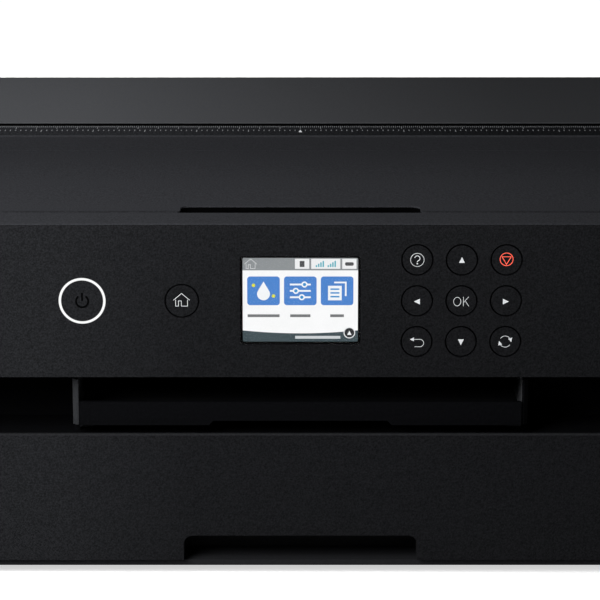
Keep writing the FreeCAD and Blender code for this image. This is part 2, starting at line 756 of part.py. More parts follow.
def rear_hopper():
    """Deck, forty-five degree chute and paper guide that lead rear-fed paper to the feed roller."""
    top = hopper_top()
    fall = hopper_fall()
    low = top - fall
    lead = FEED_ROLLER_DEPTH + FEED_ROLLER_RADIUS + HOPPER_LEAD_GAP
    slant = HOPPER_THICKNESS * math.tan(math.radians(CHUTE_ANGLE / 2))
    outline = [
        (HOPPER_BACK, top),
        (HOPPER_TOP_DEPTH, top),
        (HOPPER_TOP_DEPTH - fall, low),
        (lead, low),
        (lead, low - HOPPER_THICKNESS),
        (HOPPER_TOP_DEPTH - fall + slant, low - HOPPER_THICKNESS),
        (HOPPER_TOP_DEPTH + slant, top - HOPPER_THICKNESS),
        (HOPPER_BACK, top - HOPPER_THICKNESS),
    ]
    half = HOPPER_WIDTH / 2
    chute = side_prism(outline, -half, half)
    legs = []
    leg_x = half - HOPPER_LEG_INSET
    for depth in (HOPPER_TOP_DEPTH + HOPPER_LEG_SETBACK, HOPPER_BACK - 2 * HOPPER_LEG):
        leg = box(leg_x, leg_x + HOPPER_LEG, depth, depth + HOPPER_LEG, FLOOR_TOP, top)
        legs += both_sides(leg)
    return joined([chute] + legs)


def chute_point(along, lift):
    """Point on the chute as (depth, height): distance down the slope and height square to it."""
    run = math.sqrt(0.5)
    return HOPPER_TOP_DEPTH - (along + lift) * run, hopper_top() + (lift - along) * run


def right_edge_guide():
    """Paper guide that slides across the chute of the rear feed."""
    start = HOPPER_GUIDE_START
    stop = start + HOPPER_GUIDE_LENGTH
    fence = [
        chute_point(start, CLEARANCE),
        chute_point(stop, CLEARANCE),
        chute_point(stop, HOPPER_GUIDE_HEIGHT),
        chute_point(start, HOPPER_GUIDE_HEIGHT),
    ]
    foot = [
        chute_point(start, CLEARANCE),
        chute_point(stop, CLEARANCE),
        chute_point(stop, CLEARANCE + GUIDE_FOOT_THICKNESS),
        chute_point(start, CLEARANCE + GUIDE_FOOT_THICKNESS),
    ]
    wall = side_prism(fence, HOPPER_GUIDE_X, HOPPER_GUIDE_X + GUIDE_THICKNESS)
    sole = side_prism(foot, HOPPER_GUIDE_X - GUIDE_FOOT, HOPPER_GUIDE_X)
    return joined([wall, sole])


# Control panel

def key_places():
    """Centres of the nine keys beside the screen, named and in reading order."""
    names = (
        "help_button", "up_button", "stop_button",
        "left_button", "ok_button", "right_button",
        "back_button", "down_button", "tray_button",
    )
    places = []
    for number, name in enumerate(names):
        x = KEY_COLUMN_FIRST + (number % 3) * KEY_COLUMN_PITCH
        z = SCREEN_Z + (1 - number // 3) * KEY_ROW_PITCH
        places.append((name, x, z))
    return places


def panel_shell():
    """Front and top skin of the control panel with the holes for screen and buttons."""
    half = HALF_FRONT
    axis = panel_axis()
    skin = SKIN.common(box(-half, half, 0.0, axis[0], PANEL_BOTTOM, ABOVE_ALL))
    side = box(half - PANEL_WALL, half, 0.0, PANEL_DEPTH, PANEL_BOTTOM, axis[1]).common(OUTER)
    sole = box(-half, half, 0.0, PANEL_DEPTH, PANEL_BOTTOM, PANEL_BOTTOM + PANEL_WALL)
    shape = joined([skin, side, mirrored(side), sole, knuckle(axis, PANEL_KNUCKLE_RADIUS, half)])
    shape = joined([shape] + hinge_pins(axis, PANEL_PIN_RADIUS, half))
    holes = [window_block(SCREEN_BORDER, -OVERSHOOT, 2 * WALL)]
    holes.append(rod_y(RING_RADIUS + BORE_CLEARANCE, POWER_X, SCREEN_Z, -OVERSHOOT, 2 * WALL))
    holes.append(rod_y(HOME_RADIUS + KEY_GAP, HOME_X, SCREEN_Z, -OVERSHOOT, 2 * WALL))
    for name, x, z in key_places():
        holes.append(rod_y(KEY_RADIUS + KEY_GAP, x, z, -OVERSHOOT, 2 * WALL))
    return shape.cut(Part.makeCompound(holes))


def window_block(margin, depth0, depth1):
    """Rounded block round the screen area."""
    half_x = SCREEN_WIDTH / 2 + margin
    half_z = SCREEN_HEIGHT / 2 + margin
    block = box(-half_x, half_x, depth0, depth1, SCREEN_Z - half_z, SCREEN_Z + half_z)
    return round_corners(block, V(0, 1, 0), SCREEN_CORNER)


def screen_window():
    """Clear pane in front of the display."""
    return window_block(SCREEN_BORDER - BORE_CLEARANCE, SCREEN_RECESS, SCREEN_RECESS + WINDOW_THICKNESS)


def screen_module():
    """Display behind the pane."""
    half_x = SCREEN_WIDTH / 2 + MODULE_MARGIN
    half_z = SCREEN_HEIGHT / 2 + MODULE_MARGIN
    return box(-half_x, half_x, WALL, WALL + MODULE_THICKNESS, SCREEN_Z - half_z, SCREEN_Z + half_z)


def power_ring():
    """Light guide that shows as a ring round the power button, held by a flange behind the skin."""
    inner = RING_RADIUS - RING_STROKE
    front = rod_y(RING_RADIUS, POWER_X, SCREEN_Z, 0.0, WALL)
    flange = post_y(RING_FLANGE_WIDTH, POWER_X, SCREEN_Z, WALL, WALL + RING_STEP)
    ring = joined([front, flange])
    return ring.cut(rod_y(inner, POWER_X, SCREEN_Z, -OVERSHOOT, PANEL_DEPTH))


def panel_back_front():
    """Depth of the front of the panel's rear plate."""
    return PANEL_DEPTH - PANEL_BACK_THICKNESS


def panel_back():
    """Rear plate of the control panel with the posts that carry the display."""
    half = HALF_FRONT - PANEL_WALL
    roof = panel_axis()[1] - PANEL_KNUCKLE_RADIUS - SEAM
    plate = box(-half, half, panel_back_front(), PANEL_DEPTH, PANEL_BOTTOM + PANEL_WALL, roof)
    post_x = SCREEN_WIDTH / 2 - MODULE_MARGIN
    post_z = SCREEN_HEIGHT / 2 - MODULE_MARGIN
    posts = []
    for z in (SCREEN_Z - post_z, SCREEN_Z + post_z):
        post = post_y(KEY_STEM_WIDTH, post_x, z, WALL + MODULE_THICKNESS, PANEL_DEPTH)
        posts += both_sides(post)
    return joined([plate] + posts)


def button(radius, x, z, flange_depth, flange_width):
    """Round push button: cap, square retaining flange behind the skin and stem towards its switch."""
    cap = rod_y(radius, x, z, 0.0, flange_depth)
    flange = post_y(flange_width, x, z, flange_depth, flange_depth + KEY_FLANGE_THICKNESS)
    stem_end = panel_back_front() - BUTTON_TRAVEL - CLEARANCE
    stem = post_y(KEY_STEM_WIDTH, x, z, flange_depth, stem_end)
    return joined([cap, flange, stem])


def key(radius, x, z):
    """Button in a plain round hole of the panel skin."""
    return button(radius, x, z, WALL + CLEARANCE, 2 * (radius + KEY_FLANGE_WIDTH))


def power_button():
    """Button inside the light ring, kept in by a flange behind the ring's front step."""
    cap_radius = RING_RADIUS - RING_STROKE - POWER_CAP_GAP
    return button(cap_radius, POWER_X, SCREEN_Z, WALL + RING_STEP + CLEARANCE, 2 * RING_RADIUS)


# Output tray

def tray_base():
    """Lowest level of the output tray, just above the cassette front."""
    return FACADE_TOP + TRAY_LIFT


def extension_foot():
    """Underside of the tray extension."""
    return tray_base() + TRAY_LIP_THICKNESS + CLEARANCE


def tray_foot():
    """Underside of the output tray plate."""
    return extension_foot() + EXTENSION_THICKNESS + CLEARANCE


def mid_deck():
    """Deck over the cassette bay on two side walls, with low walls that close the sides of the slot."""
    half = HALF_FRONT - SEAM
    deck = box(-half, half, DECK_FRONT, DECK_BACK, DECK_TOP - DECK_THICKNESS, DECK_TOP)
    wall_depth = PLATE_FRONT + SLOT_WALL_SETBACK
    inner = RAIL_X + RAIL_THICKNESS + SEAM
    wall_top = PAPER_Z - 2 * EJECT_ROLLER_RADIUS - SLOT_WALL_GAP
    wall = box(inner, half, wall_depth, wall_depth + WALL, DECK_TOP, wall_top)
    bay_back = PICKUP_DEPTH + BAY_BEHIND_PICKUP
    bay_top = DECK_TOP - DECK_THICKNESS
    bay_wall = box(BAY_WALL_X, BAY_WALL_X + WALL, DECK_FRONT, bay_back, FLOOR_TOP, bay_top)
    shape = joined([deck] + both_sides(wall) + both_sides(bay_wall))
    bore = JOURNAL_RADIUS + BORE_CLEARANCE
    return shape.cut(rod_x(bore, PICKUP_DEPTH, pickup_height(), -HALF_FRONT, HALF_FRONT))


def tray_rails():
    """Pair of rails, tall at the mouth of the slot, that carry the output tray."""
    outer = RAIL_X + RAIL_THICKNESS
    tall_back = DECK_FRONT + RAIL_TALL_DEPTH
    tall = box(RAIL_X, outer, DECK_FRONT, tall_back, DECK_TOP, PANEL_BOTTOM - RAIL_POST_TOP_GAP)
    front_edge = [e for e in edges_along(tall, V(0, 0, 1)) if e.CenterOfMass.x > outer - TINY]
    front_edge = [e for e in front_edge if e.CenterOfMass.y < FRONT + DECK_FRONT + TINY]
    tall = tall.makeChamfer(RAIL_CHAMFER, front_edge)
    toe_back = DECK_FRONT + RAIL_TOE_DEPTH
    tall = tall.cut(box(RAIL_X, outer, DECK_FRONT, toe_back, DECK_TOP, extension_foot()))
    low = box(RAIL_X, outer, tall_back - OVERSHOOT, DECK_BACK, DECK_TOP, DECK_TOP + RAIL_LOW_HEIGHT)
    ledge = box(RAIL_X - RAIL_LEDGE, outer, tall_back, DECK_BACK, DECK_TOP, tray_base() - CLEARANCE)
    return Part.makeCompound(both_sides(joined([tall, low, ledge])))


def output_tray():
    """First stage of the output tray, with channels along both sides for the extension."""
    half = RAIL_X - CLEARANCE
    front = TRAY_FRONT + EXTENSION_WALL_THICKNESS + CLEARANCE
    back = front + TRAY_LENGTH
    base = tray_base()
    foot = tray_foot()
    plate = box(-half, half, front, back, foot, foot + TRAY_THICKNESS)
    web = box(half - TRAY_WEB, half, front, back, base, foot)
    lip = box(half - TRAY_WEB - TRAY_LIP_WIDTH, half, front, back, base, base + TRAY_LIP_THICKNESS)
    return joined([plate] + both_sides(web) + both_sides(lip))


def output_tray_extension():
    """Second stage of the output tray, with the front wall and its finger notch."""
    half_wall = RAIL_X - CLEARANCE
    half_plate = RAIL_X - 2 * CLEARANCE - TRAY_WEB
    foot = extension_foot()
    back = TRAY_FRONT + EXTENSION_LENGTH
    wall_back = TRAY_FRONT + EXTENSION_WALL_THICKNESS
    plate = box(-half_plate, half_plate, TRAY_FRONT, back, foot, foot + EXTENSION_THICKNESS)
    wall = box(-half_wall, half_wall, TRAY_FRONT, wall_back, foot, foot + EXTENSION_WALL_HEIGHT)
    half_notch = TRAY_NOTCH_WIDTH / 2
    notch_back = TRAY_FRONT + TRAY_NOTCH_DEPTH
    notch_top = foot + TRAY_NOTCH_HEIGHT
    notch = box(-half_notch, half_notch, TRAY_FRONT, notch_back, foot - OVERSHOOT, notch_top)
    upper = [e for e in edges_along(notch, V(0, 1, 0)) if e.CenterOfMass.z > foot]
    return joined([plate, wall]).cut(notch.makeChamfer(TRAY_NOTCH_CHAMFER, upper))


# Cassette

def cassette_tray():
    """Shallow paper cassette, open at the top."""
    half = CASSETTE_WIDTH / 2
    front = FACADE_THICKNESS
    back = front + CASSETTE_LENGTH
    foot = CASSETTE_FLOOR
    floor = box(-half, half, front, back, foot, foot + CASSETTE_WALL)
    side = box(half - CASSETTE_WALL, half, front, back, foot, foot + CASSETTE_SIDE_HEIGHT)
    rear = box(-half, half, back - CASSETTE_WALL, back, foot, foot + CASSETTE_REAR_HEIGHT)
    head = box(-half, half, front, front + CASSETTE_WALL, foot, foot + CASSETTE_FRONT_HEIGHT)
    half_grip = FACADE_GRIP_WIDTH / 2
    pocket_back = front + GRIP_POCKET_DEPTH
    pocket_top = FACADE_BOTTOM + FACADE_GRIP_HEIGHT + GRIP_POCKET_RISE
    hull = box(
        -half_grip - CASSETTE_WALL, half_grip + CASSETTE_WALL, front, pocket_back + CASSETTE_WALL,
        foot, pocket_top + CASSETTE_WALL)
    pocket = box(-half_grip, half_grip, 0.0, pocket_back, 0.0, pocket_top)
    return joined([floor, side, mirrored(side), rear, head, hull]).cut(pocket)


def cassette_front():
    """Front plate of the cassette, flush with the body, with a finger grip in its lower edge."""
    half = HALF_FRONT
    plate = box(-half, half, 0.0, FACADE_THICKNESS, FACADE_BOTTOM, FACADE_TOP)
    top_edge = [e for e in edges_along(plate, V(1, 0, 0)) if e.CenterOfMass.z > FACADE_TOP - TINY]
    plate = plate.makeFillet(FACADE_EDGE_RADIUS, top_edge)
    half_grip = FACADE_GRIP_WIDTH / 2
    grip_top = FACADE_BOTTOM + FACADE_GRIP_HEIGHT
    grip = box(-half_grip, half_grip, -OVERSHOOT, 2 * FACADE_THICKNESS, 0.0, grip_top)
    grip = round_corners(grip, V(0, 1, 0), FACADE_GRIP_RADIUS)
    return plate.cut(grip)


def cassette_right_guide():
    """Sliding side guide on the cassette floor."""
    foot = CASSETTE_FLOOR + CASSETTE_WALL + CLEARANCE
    face = GUIDE_FACE_X
    back = GUIDE_DEPTH + GUIDE_LENGTH
    fence = box(face, face + GUIDE_THICKNESS, GUIDE_DEPTH, back, foot, foot + GUIDE_HEIGHT)
    sole = box(face - GUIDE_FOOT, face, GUIDE_DEPTH, back, foot, foot + GUIDE_FOOT_THICKNESS)
    return joined([fence, sole])


def pickup_roller():
    """Roller on its shaft over the rear of the cassette."""
    half = PICKUP_WIDTH / 2
    z = pickup_height()
    tyre = rod_x(PICKUP_RADIUS, PICKUP_DEPTH, z, -half, half)
    end = BAY_WALL_X + WALL + SHAFT_END
    shaft = rod_x(JOURNAL_RADIUS, PICKUP_DEPTH, z, -end, end)
    return joined([tyre, shaft])


# Print works

def roller_axis(radius, depth):
    """Axis of a roller whose top is level with the paper, as (depth, height)."""
    return depth, PAPER_Z - radius


def pitch_radius(teeth):
    """Pitch radius of a gear of the feed train."""
    return GEAR_MODULE * teeth / 2


def train_length():
    """Distance from the feed roller to the eject roller through the transfer gear."""
    teeth = FEED_GEAR_TEETH + 2 * TRANSFER_GEAR_TEETH + EJECT_GEAR_TEETH
    return pitch_radius(teeth)


def beside_feed_gear(teeth):
    """Distance from the feed roller to the axis of a gear that meets its gear."""
    return pitch_radius(FEED_GEAR_TEETH + teeth)


FEED_AXIS = roller_axis(FEED_ROLLER_RADIUS, FEED_ROLLER_DEPTH)
EJECT_AXIS = (FEED_AXIS[0] - train_length(), FEED_AXIS[1])
TRANSFER_AXIS = (FEED_AXIS[0] - beside_feed_gear(TRANSFER_GEAR_TEETH), FEED_AXIS[1])
PINION_AXIS = (FEED_AXIS[0] + beside_feed_gear(PINION_TEETH), FEED_AXIS[1])
GEAR_INNER_X = -(PLATE_X + PLATE_THICKNESS + GEAR_GAP)
GEAR_OUTER_X = GEAR_INNER_X - GEAR_WIDTH


def gear(teeth, axis, tooth_at_front):
    """Spur gear outside the left plate; a tooth or a gap points to the front."""
    pitch = pitch_radius(teeth)
    tip = pitch + TIP_MODULES * GEAR_MODULE
    root = pitch - ROOT_MODULES * GEAR_MODULE
    step = 2 * math.pi / teeth
    half_pitch = step / 4 - GEAR_BACKLASH / (2 * pitch)
    spread = math.tan(math.radians(PRESSURE_ANGLE)) * GEAR_MODULE / pitch
    start = math.pi if tooth_at_front else math.pi + step / 2
    outline = []
    for number in range(teeth):
        middle = start + number * step
        for radius, half in ((root, half_pitch + spread), (tip, half_pitch - spread)):
            outline.append((radius, middle - half))
        for radius, half in ((tip, half_pitch - spread), (root, half_pitch + spread)):
            outline.append((radius, middle + half))
    corners = [(axis[0] + r * math.cos(a), axis[1] + r * math.sin(a)) for r, a in outline]
    return side_prism(corners, GEAR_OUTER_X, GEAR_INNER_X)


def feed_roller():
    """Paper feed roller with its gear outside the left plate."""
    depth, z = FEED_AXIS
    barrel = rod_x(FEED_ROLLER_RADIUS, depth, z, SEAM - PLATE_X, PLATE_X - SEAM)
    shaft = rod_x(JOURNAL_RADIUS, depth, z, GEAR_OUTER_X, PLATE_X + PLATE_THICKNESS)
    wheel = gear(FEED_GEAR_TEETH, FEED_AXIS, True)
    return joined([barrel, shaft, wheel])


def eject_roller():
    """Eject shaft with rubber tyres and its gear outside the left plate."""
    depth, z = EJECT_AXIS
    shaft = rod_x(EJECT_SHAFT_RADIUS, depth, z, GEAR_OUTER_X, PLATE_X + PLATE_THICKNESS)
    wheel = gear(EJECT_GEAR_TEETH, EJECT_AXIS, True)
    pieces = [shaft, wheel]
    span = 2 * (PLATEN_RIGHT - EJECT_TYRE_LENGTH)
    for number in range(EJECT_TYRE_COUNT):
        left = span * (number / (EJECT_TYRE_COUNT - 1) - 0.5) - EJECT_TYRE_LENGTH / 2
        pieces.append(rod_x(EJECT_ROLLER_RADIUS, depth, z, left, left + EJECT_TYRE_LENGTH))
    return joined(pieces)


def transfer_gear():
    """Gear between feed and eject roller, running on a stub of the left plate."""
    wheel = gear(TRANSFER_GEAR_TEETH, TRANSFER_AXIS, FEED_GEAR_TEETH % 2 == 1)
    depth, z = TRANSFER_AXIS
    return wheel.cut(rod_x(JOURNAL_RADIUS + BORE_CLEARANCE, depth, z, GEAR_OUTER_X, 0.0))


def motor_pinion():
    """Motor pinion with the motor shaft."""
    wheel = gear(PINION_TEETH, PINION_AXIS, False)
    depth, z = PINION_AXIS
    shaft = rod_x(MOTOR_SHAFT_RADIUS, depth, z, GEAR_OUTER_X, MOTOR_LENGTH / 2 - PLATE_X)
    return joined([wheel, shaft])


def frame_plate():
    """Upright side plate of the print works, right side, with the bearings of both rollers."""
    top = top_height(PLATE_FRONT) - PLATE_TOP_GAP
    plate = box(PLATE_X, PLATE_X + PLATE_THICKNESS, PLATE_FRONT, PLATE_BACK, FLOOR_TOP, top)
    window = box(
        0.0, HALF_WIDTH, PLATE_FRONT + PLATE_WINDOW_INSET, PLATE_BACK - PLATE_WINDOW_INSET,
        FLOOR_TOP + PLATE_WINDOW_FOOT, PAPER_Z - PLATE_WINDOW_BELOW_PAPER)
    plate = plate.cut(window)
    for depth, z in (FEED_AXIS, EJECT_AXIS):
        plate = plate.cut(rod_x(JOURNAL_RADIUS + BORE_CLEARANCE, depth, z, 0.0, HALF_WIDTH))
    return plate


def left_frame_plate():
    """Left side plate with the transfer gear's stub and the passage of the motor shaft."""
    plate = mirrored(frame_plate())
    stub = rod_x(JOURNAL_RADIUS, TRANSFER_AXIS[0], TRANSFER_AXIS[1], GEAR_OUTER_X, -PLATE_X)
    plate = joined([plate, stub])
    passage = rod_x(2 * MOTOR_SHAFT_RADIUS, PINION_AXIS[0], PINION_AXIS[1], -HALF_WIDTH, 0.0)
    return plate.cut(passage)


def platen():
    """Ribbed bed under the print head, on two legs beside the output tray."""
    bed_top = PAPER_Z - PLATEN_RIB
    bed = box(-PLATE_X, PLATEN_RIGHT, PLATEN_FRONT, PLATEN_BACK, bed_top - PLATEN_THICKNESS, bed_top)
    pieces = [bed]
    span = 2 * (PLATEN_RIGHT - PLATEN_RIB_INSET)
    for number in range(PLATEN_RIB_COUNT):
        x = span * (number / (PLATEN_RIB_COUNT - 1) - 0.5)
        pieces.append(box(x - PLATEN_RIB, x + PLATEN_RIB, PLATEN_FRONT, PLATEN_BACK, bed_top, PAPER_Z))
    leg_x = RAIL_X + 4 * RAIL_THICKNESS
    middle = (PLATEN_FRONT + PLATEN_BACK) / 2
    leg = box(leg_x, leg_x + PLATEN_LEG_WIDTH, middle, middle + PLATEN_LEG_DEPTH, DECK_TOP, bed_top)
    return joined(pieces + both_sides(leg))


def rail_top():
    """Height of the upper edge of the carriage rail."""
    return PULLEY_Z + RAIL_WEB_HEIGHT / 2


def carriage_rail():
    """Upright sheet behind the carriage that carries it and the belt pulleys."""
    foot = rail_top() - RAIL_WEB_HEIGHT
    back = RAIL_WEB_DEPTH + RAIL_SHEET
    web = box(-PLATE_X, PLATE_X, RAIL_WEB_DEPTH, back, foot, rail_top())
    flange = box(-PLATE_X, PLATE_X, RAIL_WEB_DEPTH, back + RAIL_FLANGE, foot, foot + RAIL_SHEET)
    stub = rod_y(JOURNAL_RADIUS, PULLEY_X, PULLEY_Z, BELT_DEPTH, back)
    passage = rod_y(2 * MOTOR_SHAFT_RADIUS, -PULLEY_X, PULLEY_Z, 0.0, BODY_DEPTH)
    reach = MOTOR_RADIUS + OVERSHOOT
    notch = box(-PULLEY_X - reach, reach - PULLEY_X, back, BODY_DEPTH, 0.0, rail_top())
    return joined([web, flange, stub]).cut(passage).cut(notch)


def front_rail():
    """Bent sheet in front of the carriage on which its nose slides."""
    top = PAPER_Z + FRONT_RAIL_ABOVE_PAPER
    back = FRONT_RAIL_DEPTH + FRONT_RAIL_WIDTH
    shelf = box(-PLATE_X, PLATE_X, FRONT_RAIL_DEPTH, back, top - RAIL_SHEET, top)
    web_back = FRONT_RAIL_DEPTH + RAIL_SHEET
    web = box(-PLATE_X, PLATE_X, FRONT_RAIL_DEPTH, web_back, top - FRONT_RAIL_WIDTH, top)
    return joined([shelf, web])


def belt_loop(radius, depth0, depth1):
    """Solid outline of the belt's path at a radius round both pulleys."""
    straight = box(-PULLEY_X, PULLEY_X, depth0, depth1, PULLEY_Z - radius, PULLEY_Z + radius)
    ends = both_sides(rod_y(radius, PULLEY_X, PULLEY_Z, depth0, depth1))
    return joined([straight] + ends)


def timing_belt():
    """Toothed belt that draws the carriage, as one endless band."""
    inner = PULLEY_RADIUS + CLEARANCE
    back = BELT_DEPTH + BELT_WIDTH
    return belt_loop(inner + BELT_THICKNESS, BELT_DEPTH, back).cut(belt_loop(inner, BELT_DEPTH, back))


def motor_pulley():
    """Belt pulley on the carriage motor's shaft."""
    back = BELT_DEPTH + BELT_WIDTH
    wheel = rod_y(PULLEY_RADIUS, -PULLEY_X, PULLEY_Z, BELT_DEPTH, back)
    end = RAIL_WEB_DEPTH + RAIL_SHEET + MOTOR_LENGTH / 2
    shaft = rod_y(MOTOR_SHAFT_RADIUS, -PULLEY_X, PULLEY_Z, BELT_DEPTH, end)
    return joined([wheel, shaft])


def idler_pulley():
    """Belt pulley at the far end, running on a stub of the rail."""
    wheel = rod_y(PULLEY_RADIUS, PULLEY_X, PULLEY_Z, BELT_DEPTH, BELT_DEPTH + BELT_WIDTH)
    return wheel.cut(rod_y(JOURNAL_RADIUS + BORE_CLEARANCE, PULLEY_X, PULLEY_Z, 0.0, BODY_DEPTH))


def drive_motors():
    """Two like motors: one behind the carriage rail, one inside the left plate."""
    bore = MOTOR_SHAFT_RADIUS + BORE_CLEARANCE
    start = RAIL_WEB_DEPTH + RAIL_SHEET
    carriage = rod_y(MOTOR_RADIUS, -PULLEY_X, PULLEY_Z, start, start + MOTOR_LENGTH)
    carriage = carriage.cut(rod_y(bore, -PULLEY_X, PULLEY_Z, start, start + MOTOR_LENGTH))
    depth, z = PINION_AXIS
    feed = rod_x(MOTOR_RADIUS, depth, z, -PLATE_X, MOTOR_LENGTH - PLATE_X)
    feed = feed.cut(rod_x(bore, depth, z, -PLATE_X, MOTOR_LENGTH - PLATE_X))
    return Part.makeCompound([carriage, feed])


def carriage_foot():
    """Underside of the carriage body."""
    return PAPER_Z + CARRIAGE_LIFT


def carriage():
    """Print carriage: open box for the cartridges, print head, belt clip, rail hook and nose."""
    left = CARRIAGE_HOME - CARRIAGE_WIDTH / 2
    right = CARRIAGE_HOME + CARRIAGE_WIDTH / 2
    back = CARRIAGE_FRONT + CARRIAGE_DEPTH
    foot = carriage_foot()
    top = foot + CARRIAGE_HEIGHT
    body = box(left, right, CARRIAGE_FRONT, back, foot, top)
    hollow = box(
        left + CARRIAGE_WALL, right - CARRIAGE_WALL, CARRIAGE_FRONT + CARRIAGE_WALL, back - CARRIAGE_WALL,
        foot + 2 * CARRIAGE_WALL, top + OVERSHOOT)
    head_x = CARRIAGE_HOME + HEAD_OFFSET
    head_middle = CARRIAGE_FRONT + CARRIAGE_DEPTH / 2
    head = box(
        head_x - HEAD_WIDTH / 2, head_x + HEAD_WIDTH / 2, head_middle - HEAD_LENGTH / 2,
        head_middle + HEAD_LENGTH / 2, PAPER_Z + HEAD_GAP, foot)
    hook_top = rail_top() + HOOK_CLEARANCE
    rail_back = RAIL_WEB_DEPTH + RAIL_SHEET + HOOK_CLEARANCE
    catch_back = rail_back + CARRIAGE_WALL
    arm_top = hook_top + CARRIAGE_WALL
    arm = box(left, right, back - CARRIAGE_WALL, catch_back, hook_top, arm_top)
    catch = box(left, right, rail_back, catch_back, hook_top - CATCH_DROP, arm_top)
    riser = box(left, right, back - CARRIAGE_WALL, back, top - CARRIAGE_WALL, arm_top)
    nose_foot = PAPER_Z + FRONT_RAIL_ABOVE_PAPER + HOOK_CLEARANCE
    nose = box(
        left + NOSE_INSET, right - NOSE_INSET, FRONT_RAIL_DEPTH + NOSE_OVERLAP,
        CARRIAGE_FRONT + CARRIAGE_WALL, nose_foot, nose_foot + CARRIAGE_WALL)
    run = PULLEY_Z - PULLEY_RADIUS - CLEARANCE - BELT_THICKNESS / 2
    reach = BELT_THICKNESS / 2 + HOOK_CLEARANCE
    clip_back = BELT_DEPTH + BELT_WIDTH + HOOK_CLEARANCE
    clip = box(
        CARRIAGE_HOME - CLIP_WIDTH / 2, CARRIAGE_HOME + CLIP_WIDTH / 2, back - CARRIAGE_WALL, clip_back,
        run - reach - CARRIAGE_WALL, run + reach + CARRIAGE_WALL)
    slit = box(left, right, BELT_DEPTH - HOOK_CLEARANCE, BODY_DEPTH, run - reach, run + reach)
    return joined([body, head, arm, catch, riser, nose, clip]).cut(hollow).cut(slit)


def ink_cartridges():
    """Row of single-colour cartridges standing in the carriage."""
    room = CARRIAGE_WIDTH - 2 * CARRIAGE_WALL
    pitch = (room - CARTRIDGE_GAP) / CARTRIDGE_COUNT
    left = CARRIAGE_HOME - room / 2 + CARTRIDGE_GAP
    foot = carriage_foot() + 2 * CARRIAGE_WALL
    top = carriage_foot() + CARRIAGE_HEIGHT + CARTRIDGE_RISE
    front = CARRIAGE_FRONT + CARRIAGE_WALL + CARTRIDGE_GAP
    back = CARRIAGE_FRONT + CARRIAGE_DEPTH - CARRIAGE_WALL - CARTRIDGE_GAP
    tanks = []
    for number in range(CARTRIDGE_COUNT):
        x = left + number * pitch
        tank = box(x, x + pitch - CARTRIDGE_GAP, front, back, foot, top)
        tanks.append(tank)
    return Part.makeCompound(tanks)


def capping_station():
    """Sled with the rubber cap under the parked print head, guided by the right plate."""
    top = PAPER_Z + HEAD_GAP - HOOK_CLEARANCE
    middle = CARRIAGE_FRONT + CARRIAGE_DEPTH / 2
    front = middle - CAP_LENGTH / 2
    back = middle + CAP_LENGTH / 2
    lip_foot = top - CAP_LIP_HEIGHT
    sled = box(CAP_LEFT, PLATE_X - CLEARANCE, front, back, top - CAP_HEIGHT, lip_foot)
    head_x = CARRIAGE_HOME + HEAD_OFFSET
    half_x = HEAD_WIDTH / 2
    half_y = HEAD_LENGTH / 2
    lip = box(head_x - half_x, head_x + half_x, middle - half_y, middle + half_y, lip_foot, top)
    half_x -= CAP_LIP_WIDTH
    half_y -= CAP_LIP_WIDTH
    bowl = box(
        head_x - half_x, head_x + half_x, middle - half_y, middle + half_y,
        top - CAP_LIP_WIDTH, top + OVERSHOOT)
    return joined([sled, lip]).cut(bowl)


# Electrics and rear side

def power_supply():
    """Closed power supply case on the base floor."""
    back = BODY_DEPTH - SOCKET_DEPTH - WALL
    return box(SUPPLY_X, SUPPLY_X + SUPPLY_WIDTH, SUPPLY_FRONT, back, FLOOR_TOP, FLOOR_TOP + SUPPLY_HEIGHT)


def ac_inlet():
    """Two-pin mains inlet in the rear panel."""
    z = FLOOR_TOP + INLET_ABOVE_FLOOR
    front = BODY_DEPTH - SOCKET_DEPTH - WALL
    back = BODY_DEPTH - SEAM
    half_x = INLET_WIDTH / 2
    half_z = INLET_HEIGHT / 2
    shell = box(INLET_X - half_x, INLET_X + half_x, front, back, z - half_z, z + half_z)
    half_x = INLET_SOCKET_WIDTH / 2
    half_z = INLET_SOCKET_HEIGHT / 2
    socket_end = back - INLET_SOCKET_DEPTH
    socket = box(INLET_X - half_x, INLET_X + half_x, socket_end, back, z - half_z, z + half_z)
    socket = round_corners(socket, V(0, 1, 0), INLET_CORNER)
    pins = []
    for side in (-1, 1):
        x = INLET_X + side * INLET_PIN_PITCH / 2
        pins.append(rod_y(INLET_PIN_RADIUS, x, z, socket_end - OVERSHOOT, back - INLET_PIN_RECESS))
    return joined([shell.cut(socket)] + pins)


def main_board():
    """Circuit board on four pillars."""
    foot = FLOOR_TOP + BOARD_LIFT
    back = BODY_DEPTH - WALL - SEAM
    board = box(BOARD_X, BOARD_X + BOARD_WIDTH, BOARD_FRONT, back, foot, foot + BOARD_THICKNESS)
    pieces = [board]
    for x in (BOARD_X + PILLAR_INSET, BOARD_X + BOARD_WIDTH - PILLAR_RIGHT_INSET):
        for depth in (BOARD_FRONT + PILLAR_INSET, back - PILLAR_REAR_INSET):
            pieces.append(post_z(PILLAR_WIDTH, x, depth, FLOOR_TOP, foot))
    return joined(pieces)


def socket_foot():
    """Top of the board, on which the data sockets stand."""
    return FLOOR_TOP + BOARD_LIFT + BOARD_THICKNESS


def socket_plate(margin, depth0, depth1):
    """Plate behind which both data sockets stand, larger by a margin."""
    rim = SOCKET_PLATE_RIM + margin
    left = USB_X - USB_WIDTH / 2 - rim
    right = LAN_X + LAN_WIDTH / 2 + rim
    return box(left, right, depth0, depth1, socket_foot() - rim, socket_foot() + LAN_HEIGHT + rim)


